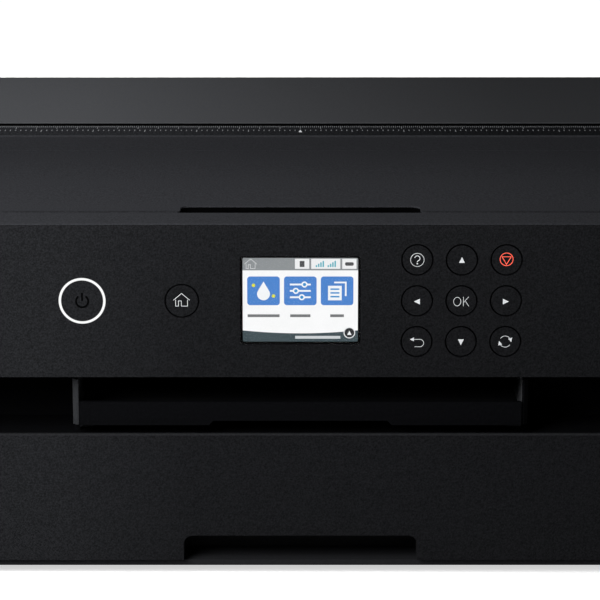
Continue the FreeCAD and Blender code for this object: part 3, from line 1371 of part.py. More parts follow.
def data_sockets():
    """Square data socket and network socket on the board's rear edge, in one face plate."""
    foot = socket_foot()
    back = BODY_DEPTH - SEAM
    front = back - SOCKET_DEPTH
    shells = [socket_plate(0.0, back - SOCKET_WALL, back)]
    rooms = []
    for x, width, height in ((USB_X, USB_WIDTH, USB_HEIGHT), (LAN_X, LAN_WIDTH, LAN_HEIGHT)):
        shells.append(box(x - width / 2, x + width / 2, front, back, foot, foot + height))
        half_room = width / 2 - SOCKET_WALL
        room_top = foot + height - SOCKET_WALL
        rooms.append(box(
            x - half_room, x + half_room, front + SOCKET_WALL, back, foot + SOCKET_WALL, room_top))
    return joined(shells).cut(Part.makeCompound(rooms))


def rear_access_cover():
    """Pull-out cover in the rear panel with a hollow body behind it and a finger grip."""
    half = ACCESS_WIDTH / 2
    top = ACCESS_BOTTOM + ACCESS_HEIGHT
    front = BODY_DEPTH - ACCESS_BOX_DEPTH
    body = box(-half, half, front, BODY_DEPTH, ACCESS_BOTTOM, top)
    grip_end = BODY_DEPTH - ACCESS_GRIP_DEPTH
    room = box(WALL - half, half - WALL, front, grip_end - WALL, ACCESS_BOTTOM + WALL, top - WALL)
    half_grip = ACCESS_GRIP_WIDTH / 2
    grip_top = top - ACCESS_GRIP_HEIGHT
    grip = box(-half_grip, half_grip, grip_end, BODY_DEPTH, grip_top - ACCESS_GRIP_HEIGHT, grip_top)
    return body.cut(room).cut(grip)


SUB_PARTS = {
    "rubber_feet": rubber_feet,
    "case_screws": case_screws,
    "base_tray": base_tray,
    "right_side_cover": right_side_cover,
    "left_side_cover": lambda: mirrored(right_side_cover()),
    "rear_panel": rear_panel,
    "top_frame": top_frame,
    "ruler_strip": ruler_strip,
    "printer_cover": printer_cover,
    "rear_feed_cover": rear_feed_cover,
    "support_extension": support_extension,
    "rear_hopper": rear_hopper,
    "right_edge_guide": right_edge_guide,
    "left_edge_guide": lambda: mirrored(right_edge_guide()),
    "panel_shell": panel_shell,
    "panel_back": panel_back,
    "screen_window": screen_window,
    "screen_module": screen_module,
    "power_ring": power_ring,
    "power_button": power_button,
    "home_button": lambda: key(HOME_RADIUS, HOME_X, SCREEN_Z),
    "mid_deck": mid_deck,
    "tray_rails": tray_rails,
    "output_tray": output_tray,
    "output_tray_extension": output_tray_extension,
    "cassette_tray": cassette_tray,
    "cassette_front": cassette_front,
    "cassette_right_guide": cassette_right_guide,
    "cassette_left_guide": lambda: mirrored(cassette_right_guide()),
    "pickup_roller": pickup_roller,
    "feed_roller": feed_roller,
    "eject_roller": eject_roller,
    "transfer_gear": transfer_gear,
    "motor_pinion": motor_pinion,
    "right_frame_plate": frame_plate,
    "left_frame_plate": left_frame_plate,
    "platen": platen,
    "carriage_rail": carriage_rail,
    "front_rail": front_rail,
    "timing_belt": timing_belt,
    "motor_pulley": motor_pulley,
    "idler_pulley": idler_pulley,
    "drive_motors": drive_motors,
    "carriage": carriage,
    "ink_cartridges": ink_cartridges,
    "capping_station": capping_station,
    "power_supply": power_supply,
    "ac_inlet": ac_inlet,
    "main_board": main_board,
    "data_sockets": data_sockets,
    "rear_access_cover": rear_access_cover,
}

os.makedirs("parts", exist_ok=True)
for sub_part, build in SUB_PARTS.items():
    save(sub_part, build())
for sub_part, key_x, key_z in key_places():
    save(sub_part, key(KEY_RADIUS, key_x, key_z))
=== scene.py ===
"""Looks of a wide photo inkjet printer: finishes, printed signs, display picture, light and camera."""

import json
import math

import bmesh
import bpy
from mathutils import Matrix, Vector


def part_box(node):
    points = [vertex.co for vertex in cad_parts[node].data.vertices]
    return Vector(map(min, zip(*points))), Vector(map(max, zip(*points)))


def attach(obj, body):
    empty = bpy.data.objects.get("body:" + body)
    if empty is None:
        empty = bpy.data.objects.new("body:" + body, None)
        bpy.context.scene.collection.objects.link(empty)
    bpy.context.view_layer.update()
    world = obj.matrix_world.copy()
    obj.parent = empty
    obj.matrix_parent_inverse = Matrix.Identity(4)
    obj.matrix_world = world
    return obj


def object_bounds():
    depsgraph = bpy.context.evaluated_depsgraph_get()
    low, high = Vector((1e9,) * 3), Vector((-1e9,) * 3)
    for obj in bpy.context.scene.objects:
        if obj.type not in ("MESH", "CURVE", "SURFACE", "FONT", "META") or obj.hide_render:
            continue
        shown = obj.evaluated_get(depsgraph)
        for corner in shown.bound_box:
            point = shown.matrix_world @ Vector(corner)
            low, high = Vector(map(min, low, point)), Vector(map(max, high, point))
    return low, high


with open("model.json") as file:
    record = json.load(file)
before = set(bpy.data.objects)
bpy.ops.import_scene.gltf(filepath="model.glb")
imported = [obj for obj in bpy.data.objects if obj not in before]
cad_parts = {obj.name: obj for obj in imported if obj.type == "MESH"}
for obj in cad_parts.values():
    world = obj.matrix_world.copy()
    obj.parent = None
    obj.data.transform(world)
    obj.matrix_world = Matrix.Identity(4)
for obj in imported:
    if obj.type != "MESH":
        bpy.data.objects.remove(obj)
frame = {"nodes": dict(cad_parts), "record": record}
cad_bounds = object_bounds()

MM = 0.001

# Camera, in degrees and millimetres
CAMERA_ELEVATION = 13.5
CAMERA_DISTANCE = 1160.0
CAMERA_LENS = 166.0
CAMERA_SENSOR = 36.0
CAMERA_CLIP_START = 10.0
CAMERA_AIM_RISE = 0.38
CAMERA_AIM_SIDE = -0.13

# Lamps, each with its place and size in metres and its power in watts
LAMPS = {
    "key_light": ((-0.345, -0.55, 0.42), 0.36, 5.5),
    "top_light": ((-0.22, 0.12, 0.42), 0.16, 0.38),
    "back_light": ((-0.45, 1.25, 0.16), 0.8, 14.0),
    "side_light": ((1.30, -0.05, 0.16), 0.8, 10.0),
}

# Surroundings, with levels of light and sizes in metres
WORLD_LEVEL = 0.05
FLOOR_SIZE = 30.0
FLOOR_DROP = 0.0001
FLOOR_SHADE = 0.80
FLOOR_GLOW = 0.62
FLOOR_FADE_START = 0.35
FLOOR_FADE_END = 0.90

# Printed signs, in millimetres and degrees, with the sizes of signs and arrow heads as factors
PRINT_THICKNESS = 0.02
SIGN_STROKE = 0.21
MARK_STROKE = 0.31
POWER_STROKE = 0.80
SIGN_DROP = 0.3
CIRCLE_STEPS = 48
SIGN_CIRCLE_RADIUS = 2.82
STOP_RISE = 0.25
STOP_SIZE = 0.96
ARROW_HALF_WIDTH = 1.22
ARROW_HEIGHT = 2.5
RETURN_HEAD_SIZE = 0.68
TURN_STARTS = (145, -35)
TURN_SWEEP = 115
TURN_LEAD = 15
TURN_RADIUS = 2.4
TURN_HEAD_SIZE = 0.72

# Limits of the drawing: least cosine at a mitred corner, and distances that count as none
MITRE_LIMIT = 0.4
SAME_POINT_MM = 1e-6
WELD_DISTANCE = 1e-8

# Painted shadow round the holes of the small keys, which lie inside the keys' flanges, in millimetres
KEY_HOLE_INSET = 1.05
KEY_GAP_SHADOW_WIDTH = 0.20
SMALL_KEYS = ("home", "help", "up", "stop", "left", "ok", "right", "back", "down", "tray")

# Paper scale, in millimetres, with its rows measured from the strip's rear edge
SCALE_HALF_LENGTH = 165.0
MILLIMETRE_ROW = 0.5
MILLIMETRE_TICK = 3.6
CENTIMETRE_TICK = 7.0
TICK_WIDTH = 0.26
INCH = 25.4
INCH_ROW = 10.6
TENTH_TICK = 2.6
INCH_TICK = 5.0
INCH_TICK_WIDTH = 0.40
# Painted highlights along the edges beside the scale
HIGHLIGHT_WIDTH = 1.1
FEED_HIGHLIGHT_WIDTH = 0.8
FEED_HIGHLIGHT_END = 1.0
CENTRE_MARK_WIDTH = 1.9
CENTRE_MARK_LENGTH = 6.1

# Shades of the plastics, metals and inks, in linear red, green and blue
CASE_SHADE = (0.0320, 0.0330, 0.0369)
FRONT_SHADE = (0.0102, 0.0105, 0.0116)
# Painted light towards the left of the front
FRONT_LEFT_SHADE = (0.0122, 0.0126, 0.0139)
# Painted shade towards the foot of the control panel
PANEL_FOOT_SHADE = (0.0082, 0.0084, 0.0093)
# Darker copy of the front plastic for the drawer, painted shade
DRAWER_SHADE = (0.0088, 0.0090, 0.0100)
# Rear feed cover, painted pale to stand for its sheen
FEED_SHADE = (0.0730, 0.0752, 0.0807)
# Painted shade towards the right of the rear feed cover
FEED_RIGHT_SHADE = (0.0442, 0.0455, 0.0488)
# Painted shadow of the gap along the lid's front seam
SEAM_SHADOW_SHADE = (0.0235, 0.0242, 0.0271)
# Painted highlight along the top edge of the drawer
DRAWER_EDGE_HIGHLIGHT_SHADE = (0.0165, 0.0170, 0.0185)
# Painted shade towards the rear of the lid
LID_REAR_SHADE = (0.0253, 0.0261, 0.0292)
RULER_SHADE = (0.0207, 0.0216, 0.0240)
# Painted shade towards the right of the ruler strip
RULER_RIGHT_SHADE = (0.0112, 0.0117, 0.0130)
# Near black: painted shadow in the notch, in gaps and round the keys; also the ink of the power sign
SHADOW_AND_INK_BLACK = (0.0012, 0.0012, 0.0013)
# Painted highlights on the moulded edges
EDGE_HIGHLIGHT_SHADE = (0.046, 0.0475, 0.052)
FEED_EDGE_HIGHLIGHT_SHADE = (0.120, 0.123, 0.130)
RAIL_SHADE = (0.023, 0.024, 0.026)
# Painted light on the inner face of the right rail
RAIL_INNER_LIGHT_SHADE = (0.060, 0.062, 0.066)
BLACK_SHADE = (0.0150, 0.0154, 0.0168)
# Darker copy of the black plastic, painted shade for places deep in the slot
SHADOWED_BLACK_SHADE = (0.0031, 0.0032, 0.0037)
STEEL_SHADE = (0.40, 0.41, 0.43)
DARK_STEEL_SHADE = (0.04, 0.04, 0.042)
NICKEL_SHADE = (0.30, 0.30, 0.31)
CONTACT_SHADE = (0.62, 0.46, 0.16)
RUBBER_SHADE = (0.011, 0.011, 0.011)
GEAR_SHADE = (0.74, 0.73, 0.69)
CARTRIDGE_SHADE = (0.028, 0.028, 0.030)
BOARD_SHADE = (0.02, 0.13, 0.05)
DISPLAY_SHADE = (0.0015, 0.0015, 0.0016)
BACKLIGHT_SHADE = (0.02, 0.02, 0.02)
PANE_SHADE = (0.01, 0.01, 0.01)
SIGN_SHADE = (0.58, 0.59, 0.61)
STOP_SHADE = (0.86, 0.12, 0.08)
SCALE_SHADE = (0.27, 0.275, 0.285)
# Glow of the printed signs on the keys, painted light
SIGN_GLOW = 0.19
STOP_GLOW = 0.36

# Grain of the surfaces: size in millimetres, share of shade to either side, scale along brushed lines
FRONT_GRAIN = 0.60
FRONT_SPREAD = 0.45
CASE_GRAIN = 0.7
CASE_SPREAD = 0.24
FEED_SPREAD = 0.12
EDGE_SPREAD = 0.15
RULER_GRAIN = 0.90
RULER_SPREAD = 0.80
BLACK_GRAIN = 0.8
BLACK_SPREAD = 0.15
PAINT_GRAIN = 1.0
PAINT_SPREAD = 0.2
BRUSH_GRAIN = 1.0
BRUSH_SPREAD = 0.12
BRUSH_STRETCH = 0.02

# Roughness of the plastics that several pieces share
CASE_ROUGHNESS = 0.62
EDGE_ROUGHNESS = 0.60
BLACK_ROUGHNESS = 0.60

# Noise values at which a grain is darkest and lightest
NOISE_LOW = 0.3
NOISE_HIGH = 0.7

# Limit past every place on the part, in metres
FAR = 1.0

# Ends of the slow fades of painted shade and painted light along the part's axes, in millimetres
LID_FADE_START = -100.0
LID_FADE_END = -24.0
RULER_FADE = 90.0
FEED_FADE = 111.0
LEFT_FADE_START = -45.0
LEFT_FADE_END = -105.0

# Reach of the painted shade, painted shadow and painted highlights on some mouldings, in millimetres
SEAM_REACH = 1.6
GAP_START = -0.2
RAIL_FRONT = 1.7
DRAWER_EDGE_HIGHLIGHT = 0.45
PANEL_TOP_DEPTH = 0.25
EDGE_DEPTH = 0.6
FEED_EDGE_DEPTH = 0.15
NOTCH_REACH = 12.5
TRAY_LIP = 3.0
PAINT_OVERLAP = 1.0

# Light ring round the power key, in millimetres, and the share of light that the pane keeps back
RING_LIGHT_RADIUS = 9.32
RING_LIGHT_WIDTH = 1.00
RING_LIGHT_BLUR = 0.12
PANE_ALPHA = 0.05

# Lining of the hand holds, in millimetres
HOLD_GAP = 0.2
HOLD_COVER = 2.6
HOLD_FLOOR = 2.8
HOLD_TOP = 25.5
HOLD_WALL = 0.7
HOLD_RADIUS = 4.0
HOLD_LENGTH = 110.0

# Ledges beside the rear feed, in millimetres
LEDGE_GAP = 0.2
LEDGE_INSET = 1.0
LEDGE_DROP = 3.0
LEDGE_WALL = 1.2

# Insides of the data sockets, in millimetres from the sockets' outer corners
TONGUE_PLACE = (8.7, 8.0)
TONGUE_SIZE = (5.6, 3.0)
TONGUE_DEPTH = 6.0
TONGUE_LENGTH = 9.0
CONTACT_COUNT = 8
CONTACT_PITCH = 1.02
CONTACT_PLACE = (-10.5, 13.6)
CONTACT_WIDTH = 0.45

# Labels on the cartridges, in millimetres
LABEL_SIZE = (10.0, 46.0)
LABEL_RADIUS = 1.2
LABEL_SHADE = (0.42, 0.42, 0.41)
PATCH_SIZE = (7.0, 14.0)
PATCH_SHIFT = 12.0
INK_SHADES = {
    "black_ink": (0.012, 0.012, 0.013),
    "grey_ink": (0.16, 0.16, 0.165),
    "cyan_ink": (0.010, 0.30, 0.60),
    "magenta_ink": (0.55, 0.020, 0.19),
    "yellow_ink": (0.80, 0.60, 0.020),
    "red_ink": (0.55, 0.030, 0.020),
}

# Display picture, in millimetres, with the strength of its light and shares of a tile's width for labels
PICTURE_WIDTH = 48.7
PICTURE_HEIGHT = 36.4
PICTURE_GLOW = 1.05
PICTURE_LIFT = 0.15
LAYER_STEP = 0.035
HEADER_HEIGHT = 5.6
FOOTER_HEIGHT = 4.9
FOOTER_SAG = 1.3
TILE_WIDTH = 13.7
TILE_HEIGHT = 12.4
TILE_PITCH = 15.45
TILE_TOP_GAP = 2.6
TILE_RADIUS = 1.3
LABEL_HEIGHT = 1.2
LABEL_DROP = 4.5
LABEL_SHARES = (0.98, 0.62, 0.42)
MASK_WIDTH = 1.0
MASK_OVERLAP = 0.15
MASK_RADIUS = 1.1
SPARK_PLACES = ((-4.2, 2.4), (4.2, -2.2))
SPARK_RADIUS = 0.75

# Header and foot of the picture, in millimetres, with the house and the badge's mark sized by factors
HOME_PLACE = 3.6
HOME_DROP = 0.3
HOME_SIZE = 0.75
CHIP_HEIGHT = 4.3
CHIP_WIDTHS = (6.0, 12.2, 6.0)
CHIP_GAP = 0.8
PILL_SIZE = (3.6, 1.5)
PILL_RADIUS = 0.6
SLAB_SIZE = (2.0, 2.6)
SIGNAL_STARTS = (-3.9, 1.1)
SIGNAL_COUNT = 4
SIGNAL_PITCH = 0.95
SIGNAL_WIDTH = 0.6
SIGNAL_HEIGHT = 0.8
SIGNAL_RISE = 0.6
SIGNAL_DROP = 1.3
FOOTER_STEPS = 12
MESSAGE_PLACE = 17.0
MESSAGE_DROP = 0.5
MESSAGE_SIZE = (19.0, 1.2)
BADGE_PLACE = 3.7
BADGE_RISE = 1.5
BADGE_RADIUS = 2.05
BADGE_EDGE_RADIUS = 2.45
BADGE_MARK_SIZE = 0.75

# Signs on the picture's tiles, in millimetres before the first two factors enlarge them
DROPLET_SIZE = 1.35
ICON_SIZE = 1.25
SLIDER_LENGTH = 7.0
SLIDER_WIDTH = 0.6
SLIDER_KNOBS = ((2.2, 1.4), (0.0, -1.5), (-2.2, 0.5))
KNOB_RADIUS = 1.05
HUB_RADIUS = 0.55
SHEET_SHIFT = -0.75
SHEET_SIZE = (4.6, 5.0)
SHEET_EDGE = 0.55
SHEET_ROWS = (0.6, -0.7, -2.0)
SHEET_LINE_SIZE = (3.0, 0.5)

# Layers of the picture, from the rearmost to the foremost, with their shades
PICTURE_SHADES = {
    "field": (0.97, 0.975, 0.98),
    "header": (0.26, 0.28, 0.29),
    "chips": (0.88, 0.89, 0.90),
    "footer": (0.040, 0.066, 0.076),
    "tiles": (0.062, 0.225, 0.620),
    "signs": (0.92, 0.94, 0.96),
    "accents": (0.010, 0.260, 0.640),
    "sparks": (0.700, 0.720, 0.040),
    "signal": (0.060, 0.420, 0.520),
    "notes": (0.070, 0.072, 0.076),
    "labels": (0.17, 0.175, 0.18),
    "message": (0.62, 0.65, 0.67),
    "badge_edge": (0.80, 0.82, 0.83),
    "badge": (0.010, 0.012, 0.014),
    "badge_mark": (0.90, 0.91, 0.92),
}

# Corners of CAD pieces that finishes and added pieces follow, in metres
LID_LOW, LID_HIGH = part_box("printer_cover")
STRIP_LOW, STRIP_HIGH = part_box("ruler_strip")
FEED_LOW, FEED_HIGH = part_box("rear_feed_cover")
RAIL_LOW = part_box("tray_rails")[0]
EXTENSION_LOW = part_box("output_tray_extension")[0]
CASSETTE_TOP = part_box("cassette_front")[1].z


def node_centre(name):
    """Middle of a CAD node's box."""
    low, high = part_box(name)
    return (low + high) / 2


def skin_line():
    """Slope of the top of the body from front to back, and its height at the middle of the frame."""
    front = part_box("panel_shell")[1]
    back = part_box("top_frame")[1]
    slope = (back.z - front.z) / (back.y - front.y)
    return slope, front.z - slope * front.y


# Materials

def new_material(name):
    """New material, returned with its node tree and its shader."""
    material = bpy.data.materials.new(name)
    material.use_nodes = True
    shader = material.node_tree.nodes["Principled BSDF"]
    return material, material.node_tree, shader


def noise(tree, size_mm, detail=2.0):
    """Noise in the part's own frame with features of about one size."""
    place = tree.nodes.new("ShaderNodeTexCoord")
    texture = tree.nodes.new("ShaderNodeTexNoise")
    texture.inputs["Scale"].default_value = 1.0 / (size_mm * MM)
    texture.inputs["Detail"].default_value = detail
    tree.links.new(place.outputs["Object"], texture.inputs["Vector"])
    return texture


def shaded(tree, texture, colour, spread):
    """Colour that varies by a share to either side with a texture."""
    ramp = tree.nodes.new("ShaderNodeValToRGB")
    dark = [channel * (1.0 - spread) for channel in colour]
    light = [channel * (1.0 + spread) for channel in colour]
    ramp.color_ramp.elements[0].position = NOISE_LOW
    ramp.color_ramp.elements[0].color = (*dark, 1.0)
    ramp.color_ramp.elements[1].position = NOISE_HIGH
    ramp.color_ramp.elements[1].color = (*light, 1.0)
    tree.links.new(texture.outputs["Fac"], ramp.inputs["Fac"])
    return ramp


def add_bump(tree, shader, texture, depth_mm):
    """Fine relief from a texture."""
    bump = tree.nodes.new("ShaderNodeBump")
    bump.inputs["Distance"].default_value = depth_mm * MM
    tree.links.new(texture.outputs["Fac"], bump.inputs["Height"])
    tree.links.new(bump.outputs["Normal"], shader.inputs["Normal"])


def grained(name, colour, roughness, grain_mm, depth_mm, spread, specular=0.0):
    """Surface with a fine grain in colour and relief."""
    material, tree, shader = new_material(name)
    texture = noise(tree, grain_mm)
    ramp = shaded(tree, texture, colour, spread)
    tree.links.new(ramp.outputs["Color"], shader.inputs["Base Color"])
    add_bump(tree, shader, texture, depth_mm)
    shader.inputs["Roughness"].default_value = roughness
    shader.inputs["Specular IOR Level"].default_value = specular
    return material


def math_node(tree, operation, first, second):
    """Result of one arithmetic operation on two numbers or sockets."""
    node = tree.nodes.new("ShaderNodeMath")
    node.operation = operation
    for socket, value in zip(node.inputs, (first, second)):
        if isinstance(value, float):
            socket.default_value = value
        else:
            tree.links.new(value, socket)
    return node.outputs["Value"]


def part_axes(tree):
    """X, Y and Z of each point in the part's own frame."""
    place = tree.nodes.new("ShaderNodeTexCoord")
    axes = tree.nodes.new("ShaderNodeSeparateXYZ")
    tree.links.new(place.outputs["Object"], axes.inputs["Vector"])
    return axes.outputs


def under_skin(tree, axes, depth_mm):
    """One from a depth below the sloping top of the body down, nought above."""
    slope, height = skin_line()
    rise = math_node(tree, "MULTIPLY", axes["Y"], slope)
    level = math_node(tree, "SUBTRACT", axes["Z"], rise)
    return math_node(tree, "LESS_THAN", level, height - depth_mm * MM)


def mix_in(material, share, other):
    """Put another colour into a material's own by a share."""
    tree = material.node_tree
    shader = tree.nodes["Principled BSDF"]
    mix = tree.nodes.new("ShaderNodeMixRGB")
    tree.links.new(share, mix.inputs["Fac"])
    tree.links.new(shader.inputs["Base Color"].links[0].from_socket, mix.inputs["Color1"])
    tree.links.new(other, mix.inputs["Color2"])
    tree.links.new(mix.outputs["Color"], shader.inputs["Base Color"])
    return material


def repainted(material, shade, limits, depth_mm=None):
    """Give another shade to part of a moulding, inside limits in metres by axis and under the skin."""
    tree = material.node_tree
    axes = part_axes(tree)
    share = 1.0
    for axis, (low, high) in limits.items():
        share = math_node(tree, "MULTIPLY", share, math_node(tree, "GREATER_THAN", axes[axis], low))
        share = math_node(tree, "MULTIPLY", share, math_node(tree, "LESS_THAN", axes[axis], high))
    if depth_mm is not None:
        share = math_node(tree, "MULTIPLY", share, under_skin(tree, axes, depth_mm))
    other = shaded(tree, noise(tree, PAINT_GRAIN, detail=1.0), shade, PAINT_SPREAD)
    return mix_in(material, share, other.outputs["Color"])


def faded(material, shade, grain_mm, spread, axis, start, stop):
    """Blend a moulding into another shade along an axis, between two places in metres."""
    tree = material.node_tree
    blend = tree.nodes.new("ShaderNodeMapRange")
    blend.inputs["From Min"].default_value = start
    blend.inputs["From Max"].default_value = stop
    tree.links.new(part_axes(tree)[axis], blend.inputs["Value"])
    other = shaded(tree, noise(tree, grain_mm), shade, spread)
    return mix_in(material, blend.outputs["Result"], other.outputs["Color"])


def painted_top_light(material, depth_mm):
    """Painted light: give a part the paler shade of the case from its top to a depth below it."""
    tree = material.node_tree
    above = math_node(tree, "SUBTRACT", 1.0, under_skin(tree, part_axes(tree), depth_mm))
    pale = shaded(tree, noise(tree, CASE_GRAIN), CASE_SHADE, CASE_SPREAD)
    return mix_in(material, above, pale.outputs["Color"])


def left_fade(material):
    """Painted light: lighten a piece of the front towards the left, where the light comes from."""
    start = LEFT_FADE_START * MM
    return faded(material, FRONT_LEFT_SHADE, FRONT_GRAIN, FRONT_SPREAD, "X", start, LEFT_FADE_END * MM)


def panel_fade(material):
    """Painted shade and light: darken a piece of the control panel towards its foot, lighten it to the
    left.
    """
    low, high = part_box("panel_shell")
    faded(material, PANEL_FOOT_SHADE, FRONT_GRAIN, FRONT_SPREAD, "Z", high.z, low.z)
    return left_fade(material)


def brushed(name, colour, roughness):
    """Sheet metal with fine lines across the printer."""
    material, tree, shader = new_material(name)
    texture = noise(tree, BRUSH_GRAIN, detail=3.0)
    stretch = tree.nodes.new("ShaderNodeMapping")
    stretch.inputs["Scale"].default_value = (BRUSH_STRETCH, 1.0, 1.0)
    place = texture.inputs["Vector"].links[0].from_socket
    tree.links.new(place, stretch.inputs["Vector"])
    tree.links.new(stretch.outputs["Vector"], texture.inputs["Vector"])
    ramp = shaded(tree, texture, colour, BRUSH_SPREAD)
    tree.links.new(ramp.outputs["Color"], shader.inputs["Base Color"])
    add_bump(tree, shader, texture, depth_mm=0.01)
    shader.inputs["Roughness"].default_value = roughness
    shader.inputs["Metallic"].default_value = 1.0
    return material


def clear_pane(name):
    """Thin clear plastic in front of the display, which only dims it a little and shines at a slant."""
    material, tree, shader = new_material(name)
    texture = noise(tree, size_mm=20.0, detail=1.0)
    add_bump(tree, shader, texture, depth_mm=0.002)
    shader.inputs["Base Color"].default_value = (*PANE_SHADE, 1.0)
    shader.inputs["Roughness"].default_value = 0.05
    shader.inputs["Alpha"].default_value = PANE_ALPHA
    return material


def distance_from(tree, centre):
    """Distance of each point in the part's own frame from a line along Y through a centre."""
    place = tree.nodes.new("ShaderNodeTexCoord")
    offset = tree.nodes.new("ShaderNodeVectorMath")
    offset.operation = "SUBTRACT"
    offset.inputs[1].default_value = centre
    tree.links.new(place.outputs["Object"], offset.inputs[0])
    flat = tree.nodes.new("ShaderNodeVectorMath")
    flat.operation = "MULTIPLY"
    flat.inputs[1].default_value = (1.0, 0.0, 1.0)
    tree.links.new(offset.outputs["Vector"], flat.inputs[0])
    reach = tree.nodes.new("ShaderNodeVectorMath")
    reach.operation = "LENGTH"
    tree.links.new(flat.outputs["Vector"], reach.inputs[0])
    return reach.outputs["Value"]


def ring_light(name, node):
    """Light guide that glows in a round line, with dark plastic to either side."""
    material, tree, shader = new_material(name)
    reach = distance_from(tree, node_centre(node))
    away = math_node(tree, "SUBTRACT", reach, RING_LIGHT_RADIUS * MM)
    away = math_node(tree, "ABSOLUTE", away, 0.0)
    line = tree.nodes.new("ShaderNodeMapRange")
    line.interpolation_type = "SMOOTHSTEP"
    line.inputs["From Min"].default_value = (RING_LIGHT_WIDTH / 2 + RING_LIGHT_BLUR) * MM
    line.inputs["From Max"].default_value = (RING_LIGHT_WIDTH / 2 - RING_LIGHT_BLUR) * MM
    tree.links.new(away, line.inputs["Value"])
    texture = noise(tree, FRONT_GRAIN)
    ramp = shaded(tree, texture, FRONT_SHADE, FRONT_SPREAD)
    tree.links.new(ramp.outputs["Color"], shader.inputs["Base Color"])
    add_bump(tree, shader, texture, depth_mm=0.01)
    shader.inputs["Specular IOR Level"].default_value = 0.0
    shader.inputs["Emission Color"].default_value = (1.0, 1.0, 1.0, 1.0)
    tree.links.new(line.outputs["Result"], shader.inputs["Emission Strength"])
    return material


def glowing(name, colour, strength):
    """Surface that gives light of its own, slightly uneven as a backlight is."""
    material, tree, shader = new_material(name)
    texture = noise(tree, size_mm=6.0, detail=1.0)
    ramp = shaded(tree, texture, colour, spread=0.015)
    tree.links.new(ramp.outputs["Color"], shader.inputs["Emission Color"])
    shader.inputs["Emission Strength"].default_value = strength
    shader.inputs["Base Color"].default_value = (*BACKLIGHT_SHADE, 1.0)
    shader.inputs["Specular IOR Level"].default_value = 0.0
    return material


def printed(name, colour, glow=0.0):
    """Printing ink or label paper, with a glow where one is given, as painted light."""
    material, tree, shader = new_material(name)
    texture = noise(tree, size_mm=0.3)
    ramp = shaded(tree, texture, colour, spread=0.04)
    tree.links.new(ramp.outputs["Color"], shader.inputs["Base Color"])
    tree.links.new(ramp.outputs["Color"], shader.inputs["Emission Color"])
    shader.inputs["Emission Strength"].default_value = glow
    shader.inputs["Roughness"].default_value = 0.6
    shader.inputs["Specular IOR Level"].default_value = 0.0
    return material


def case_plastic(name):
    """Plain plastic of the outer covers."""
    return grained(name, CASE_SHADE, CASE_ROUGHNESS, CASE_GRAIN, depth_mm=0.010, spread=CASE_SPREAD)


def front_plastic(name, shade, roughness, depth_mm):
    """Darker plastic of the front, with a strong fine grain."""
    return grained(name, shade, roughness, FRONT_GRAIN, depth_mm, FRONT_SPREAD)


def black_plastic(name, shade, depth_mm=0.020):
    """Plain plastic of the parts inside."""
    return grained(name, shade, BLACK_ROUGHNESS, BLACK_GRAIN, depth_mm, BLACK_SPREAD)


def edge_highlight(name, shade):
    """Pale plastic painted as the highlight on a moulded edge."""
    return grained(name, shade, EDGE_ROUGHNESS, CASE_GRAIN, depth_mm=0.005, spread=EDGE_SPREAD)


SLOT_MATERIALS = {
    "case_plastic": case_plastic("case_plastic"),
    "front_plastic": front_plastic("front_plastic", FRONT_SHADE, roughness=0.66, depth_mm=0.020),
    # The keys carry the panel's painted shade and light
    "button_plastic": panel_fade(
        front_plastic("button_plastic", FRONT_SHADE, roughness=0.60, depth_mm=0.015)),
    "black_plastic": black_plastic("black_plastic", BLACK_SHADE),
    "steel": brushed("steel", STEEL_SHADE, roughness=0.42),
    "rubber": grained(
        "rubber", RUBBER_SHADE, roughness=0.85, specular=0.15, grain_mm=0.8, depth_mm=0.040, spread=0.2),
    "gear_plastic": grained(
        "gear_plastic", GEAR_SHADE, roughness=0.42, specular=0.4, grain_mm=1.2, depth_mm=0.010,
        spread=0.03),
    "pane": clear_pane("pane"),
    "display": grained(
        "display", DISPLAY_SHADE, roughness=0.4, grain_mm=2.0, depth_mm=0.002, spread=0.1),
    # The light guide carries the panel's painted shade and light
    "light_guide": panel_fade(ring_light("light_guide", "power_ring")),
    "cartridge_plastic": grained(
        "cartridge_plastic", CARTRIDGE_SHADE, roughness=0.30, specular=0.4, grain_mm=2.0, depth_mm=0.005,
        spread=0.08),
    "board": grained(
        "board", BOARD_SHADE, roughness=0.35, specular=0.4, grain_mm=1.5, depth_mm=0.010, spread=0.12),
}


def lid_plastic():
    """Case plastic with painted shade: darker to the rear, dark at the front seam, black in the finger
    notch.
    """
    material = case_plastic("lid_plastic")
    start = LID_FADE_START * MM
    faded(material, LID_REAR_SHADE, CASE_GRAIN, CASE_SPREAD, "Y", start, LID_FADE_END * MM)
    repainted(material, SEAM_SHADOW_SHADE, {"Y": (-FAR, LID_LOW.y + SEAM_REACH * MM)})
    return repainted(material, SHADOW_AND_INK_BLACK, {"Y": (-FAR, LID_LOW.y + NOTCH_REACH * MM)}, EDGE_DEPTH)


def frame_plastic():
    """Case plastic, painted black as shadow behind the finger notch and in the gap before the rear cover.
    """
    material = case_plastic("frame_plastic")
    notch_y = (LID_LOW.y - PAINT_OVERLAP * MM, LID_LOW.y + NOTCH_REACH * MM)
    repainted(material, SHADOW_AND_INK_BLACK, {"X": (-LID_HIGH.x, LID_HIGH.x), "Y": notch_y}, EDGE_DEPTH)
    gap_y = (STRIP_HIGH.y + GAP_START * MM, FEED_LOW.y + PAINT_OVERLAP * MM)
    return repainted(material, SHADOW_AND_INK_BLACK, {"X": (FEED_LOW.x, FEED_HIGH.x), "Y": gap_y})


